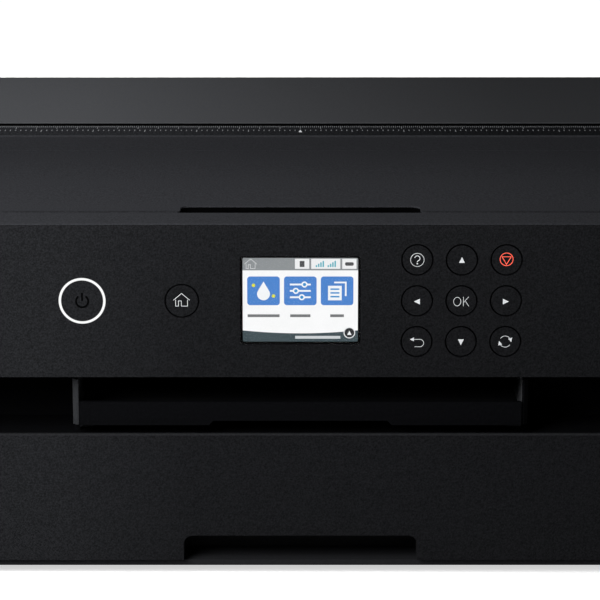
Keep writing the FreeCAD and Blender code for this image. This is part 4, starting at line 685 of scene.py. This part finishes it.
def rail_plastic():
    """Tray rails, with painted light on the right post's inner face and painted shade on its front and the
    foot.
    """
    material = black_plastic("rail_plastic", RAIL_SHADE, depth_mm=0.010)
    front = RAIL_LOW.y + RAIL_FRONT * MM
    repainted(material, RAIL_INNER_LIGHT_SHADE, {"X": (0.0, FAR), "Y": (front, FAR)})
    repainted(material, SHADOWED_BLACK_SHADE, {"X": (0.0, FAR), "Y": (-FAR, front)})
    return repainted(material, SHADOWED_BLACK_SHADE, {"Z": (-FAR, EXTENSION_LOW.z)})


def cassette_plastic():
    """Front plastic with painted shade, painted light to the left and a painted highlight on the drawer's
    top edge.
    """
    material = front_plastic("cassette_plastic", DRAWER_SHADE, roughness=0.66, depth_mm=0.020)
    left_fade(material)
    return repainted(material, DRAWER_EDGE_HIGHLIGHT_SHADE, {"Z": (CASSETTE_TOP - DRAWER_EDGE_HIGHLIGHT * MM, FAR)})


def feed_plastic():
    """Rear feed cover, paler as painted sheen, darker to the right as painted shade, black as shadow at its
    front.
    """
    material = grained(
        "feed_plastic", FEED_SHADE, roughness=0.55, grain_mm=CASE_GRAIN, depth_mm=0.010, spread=FEED_SPREAD)
    faded(material, FEED_RIGHT_SHADE, CASE_GRAIN, FEED_SPREAD, "X", -FEED_FADE * MM, FEED_FADE * MM)
    front = FEED_LOW.y + PAINT_OVERLAP * MM
    return repainted(material, SHADOW_AND_INK_BLACK, {"Y": (-FAR, front)}, FEED_EDGE_DEPTH)


def tray_plastic():
    """Black plastic of the output tray's extension, with painted shade on its front wall."""
    material = black_plastic("tray_plastic", BLACK_SHADE)
    return repainted(material, SHADOWED_BLACK_SHADE, {"Y": (-FAR, EXTENSION_LOW.y + TRAY_LIP * MM)})


def panel_plastic():
    """Front plastic of the control panel with painted shade and light, its top painted paler in the case's
    shade.
    """
    material = front_plastic("panel_plastic", FRONT_SHADE, roughness=0.64, depth_mm=0.015)
    return painted_top_light(panel_fade(material), PANEL_TOP_DEPTH)


def ruler_plastic():
    """Coarse dark plastic under the paper scale, with painted shade darker to the right."""
    material = grained(
        "ruler_plastic", RULER_SHADE, roughness=0.70, grain_mm=RULER_GRAIN, depth_mm=0.080,
        spread=RULER_SPREAD)
    ends = (-RULER_FADE * MM, RULER_FADE * MM)
    return faded(material, RULER_RIGHT_SHADE, RULER_GRAIN, RULER_SPREAD, "X", *ends)


# Black plastic darkened as painted shade; it also lines the hand holds and the ledges
SHADOWED_BLACK_PLASTIC = black_plastic("shadowed_black_plastic", SHADOWED_BLACK_SHADE)
EDGE_HIGHLIGHT_PLASTIC = edge_highlight("edge_highlight", EDGE_HIGHLIGHT_SHADE)
FEED_EDGE_HIGHLIGHT_PLASTIC = edge_highlight("feed_edge_highlight", FEED_EDGE_HIGHLIGHT_SHADE)
CONTACT_METAL = brushed("contact_metal", CONTACT_SHADE, roughness=0.35)
SIGN_INK = printed("sign_ink", SIGN_SHADE, SIGN_GLOW)
STOP_INK = printed("stop_ink", STOP_SHADE, STOP_GLOW)
# Dark ink of the power sign, also used for the painted shadow round the keys
DARK_INK_AND_SHADOW = printed("dark_ink_and_shadow", SHADOW_AND_INK_BLACK)
SCALE_INK = printed("scale_ink", SCALE_SHADE)
OWN_FINISH = {
    "printer_cover": lid_plastic(),
    "panel_shell": panel_plastic(),
    "top_frame": frame_plastic(),
    "cassette_front": cassette_plastic(),
    "front_rail": brushed("dark_steel", DARK_STEEL_SHADE, roughness=0.50),
    "rear_feed_cover": feed_plastic(),
    "ruler_strip": ruler_plastic(),
    "tray_rails": rail_plastic(),
    "output_tray_extension": tray_plastic(),
    # The deck in painted shade
    "mid_deck": SHADOWED_BLACK_PLASTIC,
    "data_sockets": brushed("nickel", NICKEL_SHADE, roughness=0.45),
}


def finish_nodes():
    """Give every CAD node its own finish or that of its slot in the record."""
    for part in frame["record"]["subparts"]:
        node = frame["nodes"][part["node"]]
        material = OWN_FINISH.get(part["node"], SLOT_MATERIALS[part["material_slot"]])
        node.data.materials.clear()
        node.data.materials.append(material)


# Flat drawing: every drawing is a list of faces, each face a list of (x, z) corners in millimetres

def arc(centre_x, centre_z, radius, start, stop, stretch=1.0):
    """Points along an arc, from one angle to another in degrees, squeezed sideways by a factor."""
    steps = max(2, round(CIRCLE_STEPS * abs(stop - start) / 360.0))
    points = []
    for step in range(steps + 1):
        angle = math.radians(start + (stop - start) * step / steps)
        across = stretch * radius * math.cos(angle)
        points.append((centre_x + across, centre_z + radius * math.sin(angle)))
    return points


def stroke(points, width, closed=False):
    """Line of even width along a row of points, with mitred corners."""
    line = [Vector(point) for point in points]
    if closed and (line[0] - line[-1]).length < SAME_POINT_MM:
        line.pop()
    count = len(line)
    left = []
    right = []
    for number, point in enumerate(line):
        before = line[number - 1] if number > 0 or closed else None
        after = line[(number + 1) % count] if number < count - 1 or closed else None
        runs = []
        if before is not None:
            runs.append((point - before).normalized())
        if after is not None:
            runs.append((after - point).normalized())
        along = sum(runs, Vector((0.0, 0.0))).normalized()
        across = Vector((-along.y, along.x))
        mitre = width / 2 / max(MITRE_LIMIT, along.dot(runs[0]))
        left.append(point + across * mitre)
        right.append(point - across * mitre)
    pieces = count if closed else count - 1
    faces = []
    for number in range(pieces):
        following = (number + 1) % count
        faces.append([left[number], right[number], right[following], left[following]])
    return faces


def rectangle(x, z, width, height):
    """Plain rectangle round a middle point."""
    left = x - width / 2
    right = x + width / 2
    foot = z - height / 2
    top = z + height / 2
    return [[(left, foot), (right, foot), (right, top), (left, top)]]


def rounded(x, z, width, height, radius):
    """Rectangle with round corners."""
    half_x = width / 2 - radius
    half_z = height / 2 - radius
    outline = []
    for side_x, side_z, start in ((1, 1, 0), (-1, 1, 90), (-1, -1, 180), (1, -1, 270)):
        outline += arc(x + side_x * half_x, z + side_z * half_z, radius, start, start + 90)
    return [outline]


def disc(x, z, radius):
    """Filled circle."""
    return [arc(x, z, radius, 0, 360)[:-1]]


def moved(faces, x, z, size=1.0):
    """The same drawing at another place and size."""
    return [[(x + side * size, z + rise * size) for side, rise in face] for face in faces]


def turned(faces, degrees):
    """The same drawing turned about its origin."""
    cosine = math.cos(math.radians(degrees))
    sine = math.sin(math.radians(degrees))
    return [[(cosine * x - sine * z, sine * x + cosine * z) for x, z in face] for face in faces]


def arrow_up():
    """Filled triangle that points up."""
    half = ARROW_HEIGHT / 2
    return [[(-ARROW_HALF_WIDTH, -half), (ARROW_HALF_WIDTH, -half), (0.0, half)]]


def ring(radius, width):
    """Circle line."""
    return stroke(arc(0, 0, radius, 0, 360), width, closed=True)


def house():
    """House with a pitched roof and an open door to the left."""
    roof = [(-3.5, 0.3), (-0.1, 3.2), (3.3, 0.3)]
    walls = [
        (-2.6, 0.5), (-2.6, -2.25), (-1.4, -2.25), (-1.4, 0.0),
        (-0.2, 0.0), (-0.2, -2.25), (2.4, -2.25), (2.4, 0.5),
    ]
    return stroke(roof, SIGN_STROKE) + stroke(walls, SIGN_STROKE)


def question():
    """Question mark in a circle."""
    hook = arc(0.0, 0.65, 1.1, 170, -50) + [(0.05, -0.6), (0.0, -0.95)]
    return ring(SIGN_CIRCLE_RADIUS, SIGN_STROKE) + stroke(hook, MARK_STROKE) + disc(0.0, -1.6, 0.32)


def stop_sign():
    """Triangle outline, tip down, in a circle."""
    corners = [(-2.0, 1.15), (2.0, 1.15), (0.0, -2.25)]
    faces = ring(SIGN_CIRCLE_RADIUS, MARK_STROKE) + stroke(corners, MARK_STROKE, closed=True)
    return moved(faces, 0.0, STOP_RISE, STOP_SIZE)


def ok_sign():
    """The letters OK."""
    letter_o = stroke(arc(-1.75, 0.0, 1.85, 0, 360, 0.82), SIGN_STROKE, closed=True)
    stem = stroke([(0.85, -2.05), (0.85, 2.05)], SIGN_STROKE)
    arm = stroke([(0.95, -0.35), (3.05, 2.05)], SIGN_STROKE)
    leg = stroke([(1.55, 0.35), (3.15, -2.05)], SIGN_STROKE)
    return letter_o + stem + arm + leg


def return_sign():
    """Arrow that goes right, turns and comes back to the left."""
    path = [(-1.4, 0.95)] + arc(1.4, -0.65, 1.6, 90, -90) + [(-0.8, -2.25)]
    head = moved(turned(arrow_up(), 90), -1.95, 0.95, RETURN_HEAD_SIZE)
    return stroke(path, SIGN_STROKE) + head


def turning_sign():
    """Two arrows that chase each other round a circle."""
    head = moved(arrow_up(), 0, 0, TURN_HEAD_SIZE)
    faces = []
    for start in TURN_STARTS:
        faces += stroke(arc(0, 0, TURN_RADIUS, start, start - TURN_SWEEP), SIGN_STROKE)
        end = start - TURN_SWEEP - TURN_LEAD
        faces += moved(turned(head, end + 180), *arc(0, 0, TURN_RADIUS, end, end + 1)[0])
    return faces


def power_sign():
    """Open circle with an upright line."""
    loop = arc(0, -0.18, 2.57, 125, 415)
    upright = [(0, -0.1), (0, 3.45)]
    return stroke(loop, POWER_STROKE) + stroke(upright, POWER_STROKE)


def add_plate(name, builder, step, material, body):
    """Grow a drawn sheet into a closed plate by a step in metres; the plate rides on a body."""
    grown = bmesh.ops.extrude_face_region(builder, geom=builder.faces[:], use_keep_orig=True)
    lifted = [item for item in grown["geom"] if isinstance(item, bmesh.types.BMVert)]
    bmesh.ops.translate(builder, verts=lifted, vec=step)
    bmesh.ops.recalc_face_normals(builder, faces=builder.faces[:])
    mesh = bpy.data.meshes.new(name)
    builder.to_mesh(mesh)
    builder.free()
    mesh.materials.append(material)
    piece = bpy.data.objects.new(name, mesh)
    bpy.context.collection.objects.link(piece)
    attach(piece, body)


def flat_piece(name, faces, origin, material, body, thickness_mm=PRINT_THICKNESS):
    """Upright plate, thin unless it is given a thickness, cut to a drawing and set in front of a point."""
    builder = bmesh.new()
    for face in faces:
        corners = []
        for x, z in face:
            corners.append(builder.verts.new(origin + Vector((x, 0.0, z)) * MM))
        builder.faces.new(corners)
    bmesh.ops.remove_doubles(builder, verts=builder.verts[:], dist=WELD_DISTANCE)
    for face in builder.faces:
        face.normal_update()
        if face.normal.y > 0:
            face.normal_flip()
    add_plate(name, builder, (0.0, -thickness_mm * MM, 0.0), material, body)


def top_piece(name, faces, height, slope, material, body):
    """Thin plate cut to a drawing of (x, y) corners, laid on a top that rises to the back by a slope."""
    builder = bmesh.new()
    for face in faces:
        corners = []
        for x, y in face:
            corners.append(builder.verts.new((x * MM, y * MM, height + slope * y * MM)))
        builder.faces.new(corners)
    add_plate(name, builder, (0.0, 0.0, PRINT_THICKNESS * MM), material, body)


# Signs on the keys

def add_signs():
    """Print each key's sign on its cap."""
    signs = {
        "power_button": (power_sign(), DARK_INK_AND_SHADOW),
        "home_button": (house(), SIGN_INK),
        "help_button": (question(), SIGN_INK),
        "up_button": (arrow_up(), SIGN_INK),
        "stop_button": (stop_sign(), STOP_INK),
        "left_button": (moved(turned(arrow_up(), 90), 0.0, -SIGN_DROP), SIGN_INK),
        "ok_button": (moved(ok_sign(), 0.0, -SIGN_DROP), SIGN_INK),
        "right_button": (moved(turned(arrow_up(), -90), 0.0, -SIGN_DROP), SIGN_INK),
        "back_button": (return_sign(), SIGN_INK),
        "down_button": (moved(turned(arrow_up(), 180), 0.0, -SIGN_DROP), SIGN_INK),
        "tray_button": (turning_sign(), SIGN_INK),
    }
    for button, (faces, ink) in signs.items():
        origin = node_centre(button)
        origin.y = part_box(button)[0].y
        flat_piece(button.replace("_button", "_sign"), faces, origin, ink, button)


def add_key_gap_shadows():
    """Painted shadow: dark line round each small key, where its gap lies in shade."""
    face_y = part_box("panel_shell")[0].y
    faces = []
    for key in SMALL_KEYS:
        button = key + "_button"
        centre = node_centre(button)
        hole = (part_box(button)[1].x - centre.x) / MM - KEY_HOLE_INSET
        faces += moved(ring(hole + KEY_GAP_SHADOW_WIDTH / 2, KEY_GAP_SHADOW_WIDTH), centre.x / MM, centre.z / MM)
    origin = Vector((0.0, face_y, 0.0))
    flat_piece("key_gap_shadows", faces, origin, DARK_INK_AND_SHADOW, "control_panel")


# Paper scale

def scale_marks():
    """Marks of the paper scale as (x, distance from the rear edge, width, length)."""
    marks = []
    for number in range(-int(SCALE_HALF_LENGTH), int(SCALE_HALF_LENGTH) + 1):
        length = CENTIMETRE_TICK if number % 10 == 0 else MILLIMETRE_TICK
        marks.append((float(number), MILLIMETRE_ROW, TICK_WIDTH, length))
    tenths = int(SCALE_HALF_LENGTH / INCH * 10)
    for number in range(-tenths, tenths + 1):
        if number == 0:
            continue
        length = INCH_TICK if number % 10 == 0 else TENTH_TICK
        marks.append((number * INCH / 10, INCH_ROW, INCH_TICK_WIDTH, length))
    return marks


def add_scale():
    """Print the scale on the inlaid strip, which slopes with the top of the body."""
    slope = skin_line()[0]
    faces = []
    for x, before, width, length in scale_marks():
        faces += rectangle(x, -before - length / 2, width, length)
    half = CENTRE_MARK_WIDTH / 2
    foot = -INCH_ROW - CENTRE_MARK_LENGTH
    arrow = [[(-half, foot), (half, foot), (0.0, -INCH_ROW)]]
    height = STRIP_HIGH.z - slope * STRIP_HIGH.y
    for name, drawing, ink in (("scale_marks", faces, SCALE_INK), ("scale_middle", arrow, SIGN_INK)):
        drawing = moved(drawing, 0.0, STRIP_HIGH.y / MM)
        top_piece(name, drawing, height, slope, ink, "chassis")


def add_edge_highlights():
    """Painted highlights: narrow pale lines where the moulded edges beside the scale catch the light."""
    slope, height = skin_line()
    length = (STRIP_HIGH.x - STRIP_LOW.x) / MM
    highlight = rectangle(0.0, STRIP_LOW.y / MM - HIGHLIGHT_WIDTH / 2, length, HIGHLIGHT_WIDTH)
    top_piece("scale_edge_highlight", highlight, height, slope, EDGE_HIGHLIGHT_PLASTIC, "chassis")
    length = (FEED_HIGH.x - FEED_LOW.x) / MM - 2 * FEED_HIGHLIGHT_END
    highlight = rectangle(0.0, FEED_LOW.y / MM + FEED_HIGHLIGHT_WIDTH / 2, length, FEED_HIGHLIGHT_WIDTH)
    body = "rear_feed_cover"
    top_piece("feed_cover_edge_highlight", highlight, height, slope, FEED_EDGE_HIGHLIGHT_PLASTIC, body)


# Pieces that show from the sides, the back and with the lid open

def add_hand_holds():
    """Line the hand hold in each side with a bent wall, so that nothing inside shows through it."""
    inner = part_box("right_frame_plate")[1].x / MM + HOLD_GAP
    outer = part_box("right_side_cover")[1].x / MM - HOLD_COVER
    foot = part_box("base_tray")[0].z / MM + HOLD_FLOOR
    corner = (inner + HOLD_RADIUS, HOLD_TOP - HOLD_RADIUS)
    outside = [(inner, foot)] + arc(*corner, HOLD_RADIUS, 180, 90) + [(outer, HOLD_TOP)]
    inside = [(outer, HOLD_TOP - HOLD_WALL)] + arc(*corner, HOLD_RADIUS - HOLD_WALL, 90, 180)
    profile = outside + inside + [(inner + HOLD_WALL, foot)]
    for name, side in (("right_hand_hold", 1), ("left_hand_hold", -1)):
        drawing = [[(side * x, z) for x, z in profile]]
        origin = Vector((0.0, HOLD_LENGTH / 2 * MM, 0.0))
        flat_piece(name, drawing, origin, SHADOWED_BLACK_PLASTIC, "chassis", HOLD_LENGTH)


def add_feed_ledges():
    """Close the gap between the hopper and each side of the rear opening with a ledge."""
    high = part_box("rear_hopper")[1]
    inner = high.x / MM + LEDGE_GAP
    outer = FEED_HIGH.x / MM - LEDGE_INSET
    drawing = rectangle((inner + outer) / 2, high.z / MM - LEDGE_DROP, outer - inner, LEDGE_WALL)
    origin = Vector((0.0, high.y, 0.0))
    length = (high.y - FEED_LOW.y) / MM
    for name, side in (("right_feed_ledge", 1), ("left_feed_ledge", -1)):
        faces = [[(side * x, z) for x, z in face] for face in drawing]
        flat_piece(name, faces, origin, SHADOWED_BLACK_PLASTIC, "chassis", length)


def add_socket_contacts():
    """Tongue of the data socket and the row of contacts in the network socket."""
    low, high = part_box("data_sockets")
    floor_z = low.z / MM
    tongue = rectangle(low.x / MM + TONGUE_PLACE[0], floor_z + TONGUE_PLACE[1], *TONGUE_SIZE)
    origin = Vector((0.0, high.y - TONGUE_DEPTH * MM, 0.0))
    plastic = SLOT_MATERIALS["gear_plastic"]
    flat_piece("data_tongue", tongue, origin, plastic, "chassis", TONGUE_LENGTH)
    contacts = []
    for number in range(CONTACT_COUNT):
        x = high.x / MM + CONTACT_PLACE[0] + (number - (CONTACT_COUNT - 1) / 2) * CONTACT_PITCH
        contacts += rectangle(x, floor_z + CONTACT_PLACE[1], CONTACT_WIDTH, CONTACT_WIDTH)
    flat_piece("network_contacts", contacts, origin, CONTACT_METAL, "chassis", TONGUE_LENGTH)


def add_cartridge_labels():
    """Pale label with a patch of the ink's colour on each cartridge."""
    low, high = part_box("ink_cartridges")
    pitch = (high.x - low.x) / len(INK_SHADES) / MM
    middle = (low.y + high.y) / 2 / MM
    labels = []
    for number, (name, shade) in enumerate(INK_SHADES.items()):
        x = low.x / MM + (number + 0.5) * pitch
        labels += rounded(x, middle, *LABEL_SIZE, LABEL_RADIUS)
        patch = rounded(x, middle + PATCH_SHIFT, *PATCH_SIZE, LABEL_RADIUS)
        height = high.z + PRINT_THICKNESS * MM
        ink = printed(name, shade)
        top_piece(name + "_patch", patch, height, 0.0, ink, "carriage")
    paper = printed("label_paper", LABEL_SHADE)
    top_piece("cartridge_labels", labels, high.z, 0.0, paper, "carriage")


# Display picture

def droplet():
    """Drop with a pointed top."""
    return [arc(0.0, -1.0, 2.0, 150, 390) + [(0.0, 3.0)]]


def sliders():
    """Three bars with a knob on each."""
    faces = []
    for row, knob in SLIDER_KNOBS:
        faces += rectangle(0.0, row, SLIDER_LENGTH, SLIDER_WIDTH)
        faces += disc(knob, row, KNOB_RADIUS)
    return faces


def slider_hubs():
    """Round middles of the slider knobs."""
    faces = []
    for row, knob in SLIDER_KNOBS:
        faces += disc(knob, row, HUB_RADIUS)
    return faces


def sheet_lines():
    """Lines of writing on the front sheet, as plain bars."""
    faces = []
    for row in SHEET_ROWS:
        faces += rectangle(SHEET_SHIFT, row, *SHEET_LINE_SIZE)
    return faces


def signal_bars(x, z):
    """Two groups of bars of rising height, side by side."""
    foot = z - SIGNAL_DROP
    faces = []
    for start in SIGNAL_STARTS:
        for number in range(SIGNAL_COUNT):
            height = SIGNAL_HEIGHT + SIGNAL_RISE * number
            bar_x = x + start + SIGNAL_PITCH * number
            faces += rectangle(bar_x, foot + height / 2, SIGNAL_WIDTH, height)
    return faces


def sheets():
    """Two sheets of paper, one in front of the other."""
    back = stroke([(-1.0, 2.9), (2.9, 2.9), (2.9, -1.8)], SHEET_EDGE)
    front = rectangle(SHEET_SHIFT, SHEET_SHIFT, *SHEET_SIZE)
    return back + front


def footer_outline():
    """Bar along the foot of the picture with a hollow upper edge."""
    half = PICTURE_WIDTH / 2
    foot = -PICTURE_HEIGHT / 2
    top = foot + FOOTER_HEIGHT
    upper = []
    for step in range(FOOTER_STEPS + 1):
        x = half - PICTURE_WIDTH * step / FOOTER_STEPS
        upper.append((x, top - FOOTER_SAG * (1.0 - (x / half) ** 2)))
    return [[(-half, foot), (half, foot)] + upper]


def header_drawings():
    """Header of the picture: bar, chips with a house beside them, signal bars and notes on the chips."""
    header_z = (PICTURE_HEIGHT - HEADER_HEIGHT) / 2
    half = PICTURE_WIDTH / 2
    right = half - CHIP_GAP
    chips = []
    middles = []
    for width in reversed(CHIP_WIDTHS):
        middles.append(right - width / 2)
        chips += rectangle(middles[-1], header_z, width, CHIP_HEIGHT)
        right -= width + CHIP_GAP
    chips += moved(house(), HOME_PLACE - half, header_z - HOME_DROP, HOME_SIZE)
    pill_x, signal_x, slab_x = middles
    notes = rounded(pill_x, header_z, *PILL_SIZE, PILL_RADIUS)
    notes += rectangle(slab_x, header_z, *SLAB_SIZE)
    return {
        "header": rectangle(0.0, header_z, PICTURE_WIDTH, HEADER_HEIGHT),
        "chips": chips,
        "signal": signal_bars(signal_x, header_z),
        "notes": notes,
    }


def tile_drawings():
    """Three tiles with a sign on each, and a plain bar below each in place of its name."""
    tile_z = PICTURE_HEIGHT / 2 - HEADER_HEIGHT - TILE_TOP_GAP - TILE_HEIGHT / 2
    label_z = tile_z - TILE_HEIGHT / 2 - LABEL_DROP
    columns = (-TILE_PITCH, 0.0, TILE_PITCH)
    tiles = []
    labels = []
    for x, share in zip(columns, LABEL_SHARES):
        tiles += rounded(x, tile_z, TILE_WIDTH, TILE_HEIGHT, TILE_RADIUS)
        labels += rectangle(x, label_z, TILE_WIDTH * share, LABEL_HEIGHT)
    left, middle, right = columns
    signs = moved(droplet(), left, tile_z, DROPLET_SIZE)
    signs += moved(sliders(), middle, tile_z, ICON_SIZE)
    signs += moved(sheets(), right, tile_z, ICON_SIZE)
    accents = moved(slider_hubs(), middle, tile_z, ICON_SIZE)
    accents += moved(sheet_lines(), right, tile_z, ICON_SIZE)
    sparks = []
    for x, z in SPARK_PLACES:
        sparks += disc(left + x, tile_z + z, SPARK_RADIUS)
    return {"tiles": tiles, "signs": signs, "accents": accents, "sparks": sparks, "labels": labels}


def footer_drawings():
    """Foot of the picture: bar, a plain line in place of its message, and a round badge."""
    footer_z = (FOOTER_HEIGHT - PICTURE_HEIGHT) / 2
    half = PICTURE_WIDTH / 2
    badge = (half - BADGE_PLACE, footer_z + BADGE_RISE)
    return {
        "footer": footer_outline(),
        "message": rectangle(half - MESSAGE_PLACE, footer_z - MESSAGE_DROP, *MESSAGE_SIZE),
        "badge_edge": disc(*badge, BADGE_EDGE_RADIUS),
        "badge": disc(*badge, BADGE_RADIUS),
        "badge_mark": moved(arrow_up(), *badge, BADGE_MARK_SIZE),
    }


def layer_place(number):
    """Middle of a layer of the picture, counted from the rearmost, on the front of the display."""
    place = node_centre("screen_module")
    place.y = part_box("screen_module")[0].y - (PICTURE_LIFT + number * LAYER_STEP) * MM
    return place


def add_picture():
    """Lit picture of a plain menu on the display, built up in thin layers behind a dark border."""
    drawings = {"field": rectangle(0.0, 0.0, PICTURE_WIDTH, PICTURE_HEIGHT)}
    for group in (header_drawings(), tile_drawings(), footer_drawings()):
        drawings.update(group)
    for number, (layer, shade) in enumerate(PICTURE_SHADES.items()):
        name = "picture_" + layer
        light = glowing(name, shade, PICTURE_GLOW)
        flat_piece(name, drawings[layer], layer_place(number), light, "control_panel")
    grow = MASK_WIDTH - 2 * MASK_OVERLAP
    outline = rounded(0.0, 0.0, PICTURE_WIDTH + grow, PICTURE_HEIGHT + grow, MASK_RADIUS)[0]
    mask = stroke(outline, MASK_WIDTH, closed=True)
    place = layer_place(len(PICTURE_SHADES))
    flat_piece("picture_mask", mask, place, SLOT_MATERIALS["display"], "control_panel")


# Stage

def seen_by_eye(tree):
    """One for rays from the camera and for rays in gloss and glass, nought for the rest."""
    path = tree.nodes.new("ShaderNodeLightPath")
    total = path.outputs["Is Camera Ray"]
    for name in ("Is Glossy Ray", "Is Transmission Ray"):
        total = math_node(tree, "MAXIMUM", total, path.outputs[name])
    return total


def floor_white():
    """Pale floor material that glows to the eye, less so near the printer, where it keeps the shadow."""
    material, tree, shader = new_material("floor")
    shader.inputs["Base Color"].default_value = (FLOOR_SHADE, FLOOR_SHADE, FLOOR_SHADE, 1.0)
    shader.inputs["Roughness"].default_value = 0.9
    shader.inputs["Specular IOR Level"].default_value = 0.0
    shader.inputs["Emission Color"].default_value = (1.0, 1.0, 1.0, 1.0)
    place = tree.nodes.new("ShaderNodeTexCoord")
    reach = tree.nodes.new("ShaderNodeVectorMath")
    reach.operation = "LENGTH"
    tree.links.new(place.outputs["Object"], reach.inputs[0])
    fade = tree.nodes.new("ShaderNodeMapRange")
    fade.interpolation_type = "SMOOTHSTEP"
    fade.inputs["From Min"].default_value = FLOOR_FADE_START
    fade.inputs["From Max"].default_value = FLOOR_FADE_END
    fade.inputs["To Min"].default_value = FLOOR_GLOW
    fade.inputs["To Max"].default_value = 1.0
    tree.links.new(reach.outputs["Value"], fade.inputs["Value"])
    seen = math_node(tree, "MULTIPLY", fade.outputs["Result"], seen_by_eye(tree))
    tree.links.new(seen, shader.inputs["Emission Strength"])
    return material


def add_floor():
    """Wide floor just below the printer's feet."""
    half = FLOOR_SIZE / 2
    mesh = bpy.data.meshes.new("floor")
    corners = [(-half, -half, 0), (half, -half, 0), (half, half, 0), (-half, half, 0)]
    mesh.from_pydata(corners, [], [(0, 1, 2, 3)])
    floor = bpy.data.objects.new("floor", mesh)
    floor.location.z = -FLOOR_DROP
    bpy.context.collection.objects.link(floor)
    mesh.materials.append(floor_white())


def add_world():
    """White to the camera and in gloss and glass, a plain grey light otherwise."""
    world = bpy.data.worlds.new("studio")
    bpy.context.scene.world = world
    world.use_nodes = True
    tree = world.node_tree
    background = tree.nodes["Background"]
    level = tree.nodes.new("ShaderNodeMapRange")
    level.inputs["To Min"].default_value = WORLD_LEVEL
    level.inputs["To Max"].default_value = 1.0
    tree.links.new(seen_by_eye(tree), level.inputs["Value"])
    tree.links.new(level.outputs["Result"], background.inputs["Strength"])
    background.inputs["Color"].default_value = (1.0, 1.0, 1.0, 1.0)


def add_area_light(name, place, size, power):
    """Soft square lamp that faces the middle of the printer."""
    lamp = bpy.data.lights.new(name, "AREA")
    lamp.size = size
    lamp.energy = power
    light = bpy.data.objects.new(name, lamp)
    light.location = place
    target = (cad_bounds[0] + cad_bounds[1]) / 2
    light.rotation_mode = "QUATERNION"
    light.rotation_quaternion = (target - light.location).to_track_quat("-Z", "Y")
    light.visible_camera = False
    bpy.context.collection.objects.link(light)


def add_camera():
    """Camera on the middle line, aimed down at the middle of the display."""
    data = bpy.data.cameras.new("camera")
    data.lens = CAMERA_LENS
    data.sensor_width = CAMERA_SENSOR
    data.clip_start = CAMERA_CLIP_START * MM
    camera = bpy.data.objects.new("camera", data)
    target = node_centre("screen_window")
    target.x += CAMERA_AIM_SIDE * MM
    target.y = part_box("panel_shell")[0].y
    target.z += CAMERA_AIM_RISE * MM
    rise = math.radians(CAMERA_ELEVATION)
    back = Vector((0.0, -math.cos(rise), math.sin(rise)))
    camera.location = target + back * CAMERA_DISTANCE * MM
    camera.rotation_mode = "QUATERNION"
    camera.rotation_quaternion = (-back).to_track_quat("-Z", "Y")
    bpy.context.collection.objects.link(camera)
    bpy.context.scene.camera = camera


finish_nodes()
add_signs()
add_key_gap_shadows()
add_scale()
add_edge_highlights()
add_hand_holds()
add_feed_ledges()
add_socket_contacts()
add_cartridge_labels()
add_picture()
add_floor()
add_world()
for lamp_name, lamp_settings in LAMPS.items():
    add_area_light(lamp_name, *lamp_settings)
add_camera()
bpy.context.scene.view_settings.view_transform = "Standard"
